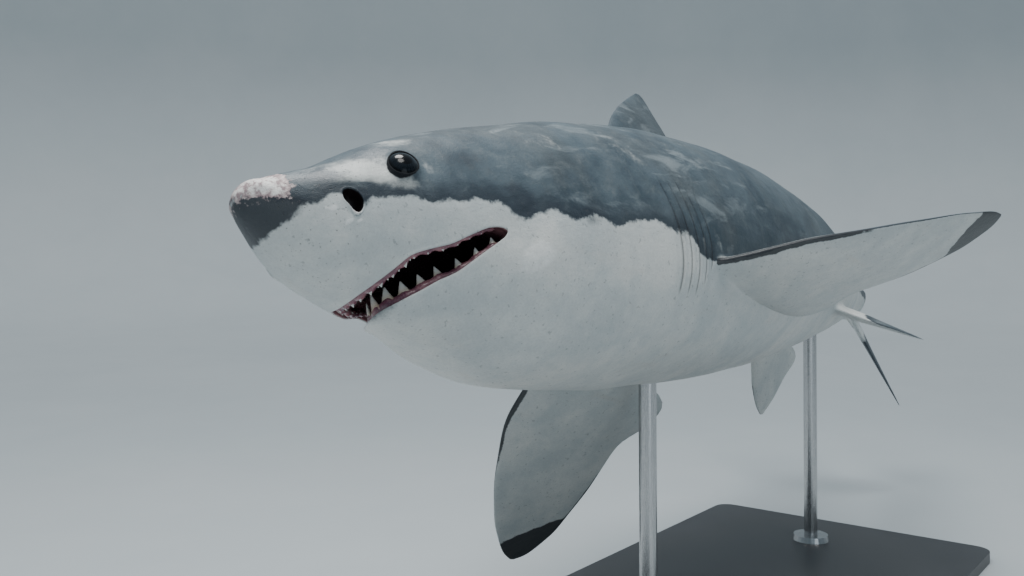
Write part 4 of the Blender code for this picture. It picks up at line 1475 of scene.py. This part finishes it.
def skin_finish():
    """The countershaded hide with its scars, its painted shade and painted highlights, and the
    wet lining it runs into.
    """
    n = Finish("shark_skin")
    body = n.object_place(pose_matrix().inverted())
    swept = n.vector("MULTIPLY", body, (0.28, 1.0, 1.0))
    cloud = n.mottle(body, 5.0, 1.7)
    small = n.mottle(body, 26.0, 1.6)
    streak = n.noise(swept, 15.0, 5.0, 0.62, 0.6)
    brown = n.noise(body, 2.6, 4.0, 0.6, 0.5)
    grain = n.noise(body, 210.0, 3.0, 0.6)
    patchy = n.noise(body, 75.0, 4.0, 0.65)
    specks = n.band(n.noise(body, 95.0, 2.0), 0.655, 0.70)
    lines = n.scratches(body, 12.0, 0.020, (0.1, 0.25, 0.2))
    nicks = n.scratches(body, 20.0, 0.028, (0.4, -0.7, -0.3))
    mark = {name: n.attribute(name) for name in Skin.MARKS}

    # How far this spot is above the ragged line between back and belly.
    above = n.sum(mark["shade"], n.scaled(cloud, 0.030), n.scaled(small, 0.026),
                  n.scaled(streak, 0.020))
    back_share = n.band(above, -0.004, 0.006)
    rim = n.times(back_share, n.band(above, 0.060, 0.004), 0.72)
    # light and dark carry the pale mark: the hide's own patches, and the painted highlights and
    # painted shade among them.
    light = n.sum(mark["pale"], n.scaled(small, 0.7), n.scaled(streak, 0.9))
    dark = n.sum(n.times(mark["pale"], -1.0), n.scaled(small, 0.5))
    slate = n.mix(
        (0.040, 0.060, 0.078),
        (cloud, 0.22, 0.8, (0.100, 0.132, 0.155)),
        (brown, 0.50, 0.66, 0.28, (0.098, 0.098, 0.092)),
        (small, 0.42, 1.0, 0.55, (0.180, 0.200, 0.205)),
        (streak, 0.54, 0.70, 0.60, (0.260, 0.300, 0.320)),
        (light, 0.30, 1.0, 0.88, (0.560, 0.585, 0.570)),
        (dark, 0.25, 0.85, 0.80, (0.024, 0.034, 0.048)),
        (rim, (0.032, 0.040, 0.052)),
        (n.times(lines, 0.40), (0.400, 0.410, 0.400)))
    cream = n.mix(
        (0.570, 0.605, 0.605),
        (cloud, 0.2, 0.85, (0.790, 0.785, 0.750)),
        (small, 0.58, 1.0, 0.40, (0.380, 0.415, 0.430)),
        (streak, 0.55, 0.75, 0.25, (0.620, 0.560, 0.500)),
        (above, -0.060, -0.004, 0.25, (0.440, 0.485, 0.505)),
        (light, 0.50, 0.90, 0.85, (0.880, 0.880, 0.860)),
        (dark, 0.35, 0.85, 0.90, (0.050, 0.060, 0.075)),
        (n.times(nicks, 0.45), (0.300, 0.280, 0.270)))

    # The dark tips and edges under the breast fins, the front edge partly painted shade, the
    # scarred tip of the snout, and the painted shade under the snout's tip.
    tip = n.sum(mark["tip"], n.scaled(small, 0.35))
    # Painted shade under the snout's tip, near black and ragged.
    smudge = n.sum(mark["smudge"], n.scaled(small, 0.7), n.scaled(patchy, 1.0))
    smudged = n.times(n.band(smudge, 0.22, 0.75, 0.95), n.band(mark["smudge"], 0.0, 0.20))
    scar = n.sum(mark["scar"], n.scaled(small, 1.1), n.scaled(patchy, 2.0))
    scarred = n.times(n.band(scar, 0.30, 0.55, 0.95), n.band(mark["scar"], 0.02, 0.15))
    raw = n.mix((0.360, 0.270, 0.280), (patchy, 0.42, 0.60, (0.680, 0.570, 0.550)),
                (scar, 0.70, 1.15, (0.880, 0.855, 0.830)))
    # Sense pores over the snout, and the wet flesh of the mouth's lining.
    pored = n.times(n.band(n.cells(body, 105.0), 0.150, 0.085),
                    n.band(cloud, 0.35, 0.60), mark["pores"])
    flesh = n.mix((0.200, 0.075, 0.095), (small, 0.3, 0.8, (0.330, 0.150, 0.160)))
    # The lids' dark rims: partly dark skin, partly painted shade of the lids round the eye.
    lid_dark_and_shade = 0.0
    for side in SIDE_SIGN.values():
        round_eye = n.object_place((pose_matrix() @ eye_frame(side)).inverted())
        flat = n.vector("MULTIPLY", round_eye, (0.77, 1.0, 0.0))
        reach = n.sum(n.vector("LENGTH", flat, output=1), n.scaled(patchy, 0.004))
        outer = n.vector("DOT_PRODUCT", round_eye, (0, 0, 1), 1)
        lid_dark_and_shade = n.sum(lid_dark_and_shade, n.times(n.band(reach, 0.0310, 0.0288), n.band(outer, 0.0, 0.01)))

    colour = n.mix(
        cream, (back_share, slate),
        (tip, 0.38, 0.50, 0.93, (0.030, 0.034, 0.040)),
        (smudged, (0.030, 0.037, 0.048)), (scarred, raw),
        (n.times(pored, 0.55), (0.070, 0.075, 0.080)),
        (n.times(specks, 0.30), (0.080, 0.086, 0.090)),
        (grain, 0.3, 0.75, 0.10, (0.02, 0.02, 0.02)),
        (mark["wet"], 0.30, 0.85, flesh),
        # Painted shade, near black, in the mouth's depths, the gill slits and pockets, the
        # nostril, and the eye's socket and lid edge.
        (mark["deep"], 0.05, 0.95, (0.012, 0.007, 0.009)),
        (lid_dark_and_shade, (0.007, 0.009, 0.012)))
    rough = n.sum(0.43, n.scaled(small, 0.16), n.times(scarred, 0.12),
                  n.times(mark["wet"], -0.16), n.times(lid_dark_and_shade, 0.50))
    relief = n.sum(n.group("hide", Place=body, Scale=430.0), n.times(lines, -0.55),
                   n.times(nicks, -0.35), n.times(pored, -1.4),
                   n.times(n.noise(swept, 60.0, 4.0, 0.6), 0.9),
                   n.times(grain, scarred, 0.9))
    return n.surface(colour, rough, relief, 0.0016, 0.75, Specular_IOR_Level=0.30)


def eye_finish(side_name, side):
    """A black eye: a dark iris with faint fibres round a black pupil."""
    n = Finish("eye_" + side_name)
    local = n.object_place((pose_matrix() @ eye_frame(side)).inverted())
    flat = n.vector("MULTIPLY", local, (1.0, 1.0, 0.0))
    radius = n.vector("LENGTH", flat, output=1)
    fibres = n.noise(n.vector("NORMALIZE", flat), 9.0, 3.0, 0.7)
    iris = n.mix((0.004, 0.006, 0.009), (fibres, 0.35, 0.7, (0.010, 0.014, 0.020)))
    ring = n.times(n.band(radius, 0.0135, 0.0155), n.band(radius, 0.0275, 0.0235))
    return n.surface(n.mix((0.002, 0.002, 0.003), (ring, iris)),
                     n.band(fibres, 0.2, 0.8, 0.22, 0.14), Specular_IOR_Level=0.15,
                     Coat_Weight=0.35, Coat_Roughness=0.07, Coat_IOR=1.36)


def teeth_finish():
    """Ivory blades, yellower at the foot and clearer at the edge."""
    n = Finish("teeth")
    place = n.object_place()
    cloud = n.mottle(place, 60.0, 1.8)
    crown = n.attribute("crown")
    colour = n.mix((0.62, 0.50, 0.36), (crown, 0.12, 0.7, (0.80, 0.79, 0.74)),
                   (cloud, 0.45, 1.0, 0.45, (0.50, 0.42, 0.32)),
                   (crown, 0.22, 0.10, 0.6, (0.48, 0.25, 0.22)))
    relief = n.sum(cloud, n.times(n.noise(place, 700.0, 2.0), 0.3))
    return n.surface(colour, n.band(cloud, 0.2, 0.9, 0.38, 0.18), relief, 0.0003, 0.5,
                     Coat_Weight=0.4, Coat_Roughness=0.1)


def gum_finish():
    """Wet gums, from pink to bruised purple."""
    n = Finish("mouth_lining")
    place = n.object_place()
    cloud = n.mottle(place, 22.0, 1.9)
    fine = n.noise(place, 260.0, 4.0)
    colour = n.mix((0.150, 0.050, 0.085), (cloud, 0.2, 0.85, (0.400, 0.180, 0.200)),
                   (fine, 0.55, 0.75, 0.5, (0.520, 0.290, 0.290)))
    return n.surface(colour, n.band(fine, 0.3, 0.7, 0.42, 0.20), n.sum(fine, cloud),
                     0.0009, 0.6, Coat_Weight=0.5, Coat_Roughness=0.15)


def base_finish():
    """Satin charcoal paint with a fine grain and rubbed patches."""
    n = Finish("stand_base")
    place = n.object_place()
    cloud = n.mottle(place, 3.0, 1.5)
    grain = n.noise(place, 900.0, 2.0)
    lines = n.scratches(place, 16.0, 0.020, (0.0, 0.0, 0.6))
    colour = n.mix((0.030, 0.032, 0.036), (cloud, 0.2, 0.8, (0.046, 0.048, 0.052)),
                   (n.times(lines, 0.35), (0.12, 0.12, 0.125)))
    return n.surface(colour, n.sum(0.40, n.scaled(cloud, 0.12), n.scaled(grain, 0.10)),
                     grain, 0.0002, 0.35)


def steel_finish():
    """Brushed steel, its grain running up the rods."""
    n = Finish("stand_steel")
    place = n.object_place()
    brushed = n.noise(n.vector("MULTIPLY", place, (1.0, 1.0, 0.02)), 1400.0, 3.0, 0.7)
    cloud = n.mottle(place, 8.0, 1.4)
    colour = n.mix((0.42, 0.42, 0.43), (brushed, 0.3, 0.7, (0.62, 0.62, 0.62)),
                   (cloud, 0.6, 1.0, 0.3, (0.30, 0.30, 0.31)))
    return n.surface(colour, n.sum(0.26, n.scaled(brushed, 0.12), n.scaled(cloud, 0.10)),
                     brushed, 0.0001, 0.4, Metallic=1.0)


def studio_finish():
    """The plain pale floor, a little uneven so that it isn't dead flat."""
    n = Finish("studio")
    cloud = n.mottle(n.object_place(), 0.5, 1.0)
    colour = n.mix((0.430, 0.475, 0.500), (cloud, 0.2, 0.8, (0.475, 0.515, 0.535)))
    return n.surface(colour, n.sum(0.75, n.scaled(cloud, 0.1)))


# ---------------------------------------------------------- eyes, studio

def build_eye(side_name, side):
    """A ball whose clear front swells a little over the iris."""
    bm = bmesh.new()
    bmesh.ops.create_uvsphere(bm, u_segments=72, v_segments=48, radius=EYE_RADIUS)
    for vert in bm.verts:
        vert.co *= 1 + 0.022 * ease(vert.co.z / EYE_RADIUS, 0.70, 1.0)
    bmesh.ops.transform(bm, matrix=eye_frame(side), verts=bm.verts)
    finish_piece("eyeball_" + side_name, bm, eye_finish(side_name, side),
                 ["eye_" + side_name])


STUDIO_RADIUS = 17.0
COVE_RADIUS = 5.0
COVE_STEPS = 16
WALL_HEIGHT = 9.0


def build_studio():
    """A round floor that curves up into a plain wall."""
    bm = bmesh.new()
    flat = STUDIO_RADIUS - COVE_RADIUS
    profile = [(0.0, 0.0), (flat / 2, 0.0), (flat, 0.0)]
    for i in range(1, COVE_STEPS + 1):
        turn = pi / 2 * i / COVE_STEPS
        profile.append((flat + COVE_RADIUS * sin(turn),
                        COVE_RADIUS * (1 - cos(turn))))
    profile.append((STUDIO_RADIUS, WALL_HEIGHT))
    line = [bm.verts.new((x, 0, z)) for x, z in profile]
    edges = [bm.edges.new(pair) for pair in zip(line, line[1:])]
    bmesh.ops.spin(bm, geom=line + edges, cent=(0, 0, 0), axis=(0, 0, 1),
                   angle=2 * pi, steps=96, use_merge=True)
    bmesh.ops.remove_doubles(bm, verts=bm.verts, dist=1e-5)
    bmesh.ops.recalc_face_normals(bm, faces=bm.faces)
    bmesh.ops.reverse_faces(bm, faces=bm.faces)
    studio = add_object("studio", bm, studio_finish())


def build_camera():
    camera = link(bpy.data.objects.new("camera", bpy.data.cameras.new("camera")))
    camera.location = (-2.7633, -1.3978, 1.1855)
    camera.rotation_euler = (1.5715, 0.0049, -0.9113)
    camera.data.lens = 34.80
    camera.data.sensor_width = 36
    camera.data.shift_y = -0.0439
    camera.data.clip_start = 0.05
    camera.data.clip_end = 100
    bpy.context.scene.camera = camera


# The lamps: kind, place, what it points at, size (an angle for the sun), power
# and colour.
LAMPS = {
    "sun": ("SUN", (0, 0, 0), (0.22, 0.30, -1), 0.5, 1.9, (1.0, 0.985, 0.96)),
    "overhead": ("AREA", (-1.1, 0.5, 4.4), (-0.9, 0, 1.1), 1.6, 130, (1.0, 0.985, 0.96)),
    "fill": ("AREA", (-3.4, -5.4, 1.2), (-0.9, 0, 1.1), 3.4, 28, (0.80, 0.92, 1.0)),
}
SKY = (0.66, 0.84, 0.96, 1)
SKY_STRENGTH = 0.42


def build_lights():
    """Daylight from above, a lamp over the head, and an even cool sky."""
    world = bpy.data.worlds.new("world")
    bpy.context.scene.world = world
    world.use_nodes = True
    sky = world.node_tree.nodes["Background"].inputs
    sky[0].default_value = SKY
    sky[1].default_value = SKY_STRENGTH
    for name, (kind, place, target, size, power, colour) in LAMPS.items():
        lamp = link(bpy.data.objects.new(name, bpy.data.lights.new(name, kind)))
        lamp.location = place
        aim = Vector(target) - Vector(place)
        lamp.rotation_euler = aim.to_track_quat("-Z", "Y").to_euler()
        if kind == "SUN":
            lamp.data.angle = size
        else:
            lamp.data.shape = "DISK"
            lamp.data.size = size
        lamp.data.energy = power
        lamp.data.color = colour


FLESH = ("head", "lower_jaw", "gill_region", "trunk", "hind_trunk", "tail_stem",
         "dorsal_fin", "second_dorsal_fin", "anal_fin", "caudal_fin_upper",
         "caudal_fin_lower", "pectoral_fin_left", "pectoral_fin_right",
         "pelvic_fin_left", "pelvic_fin_right")


def main():
    for make in (make_scratches, make_mottle, make_hide):
        make()
    build_camera()
    build_lights()
    build_studio()
    finish_piece("skin", build_skin(), skin_finish(), FLESH, levels=1)
    for side_name, side in SIDE_SIGN.items():
        build_eye(side_name, side)
    teeth = teeth_finish()
    gums = gum_finish()
    for jaw in LIPS:
        build_teeth(jaw, teeth)
        build_gum(jaw, gums)
    base = base_finish()
    steel = steel_finish()
    for name, node in frame["nodes"].items():
        if name.startswith("stand_"):
            node.data.materials.clear()
            node.data.materials.append(base if name == "stand_base" else steel)


main()
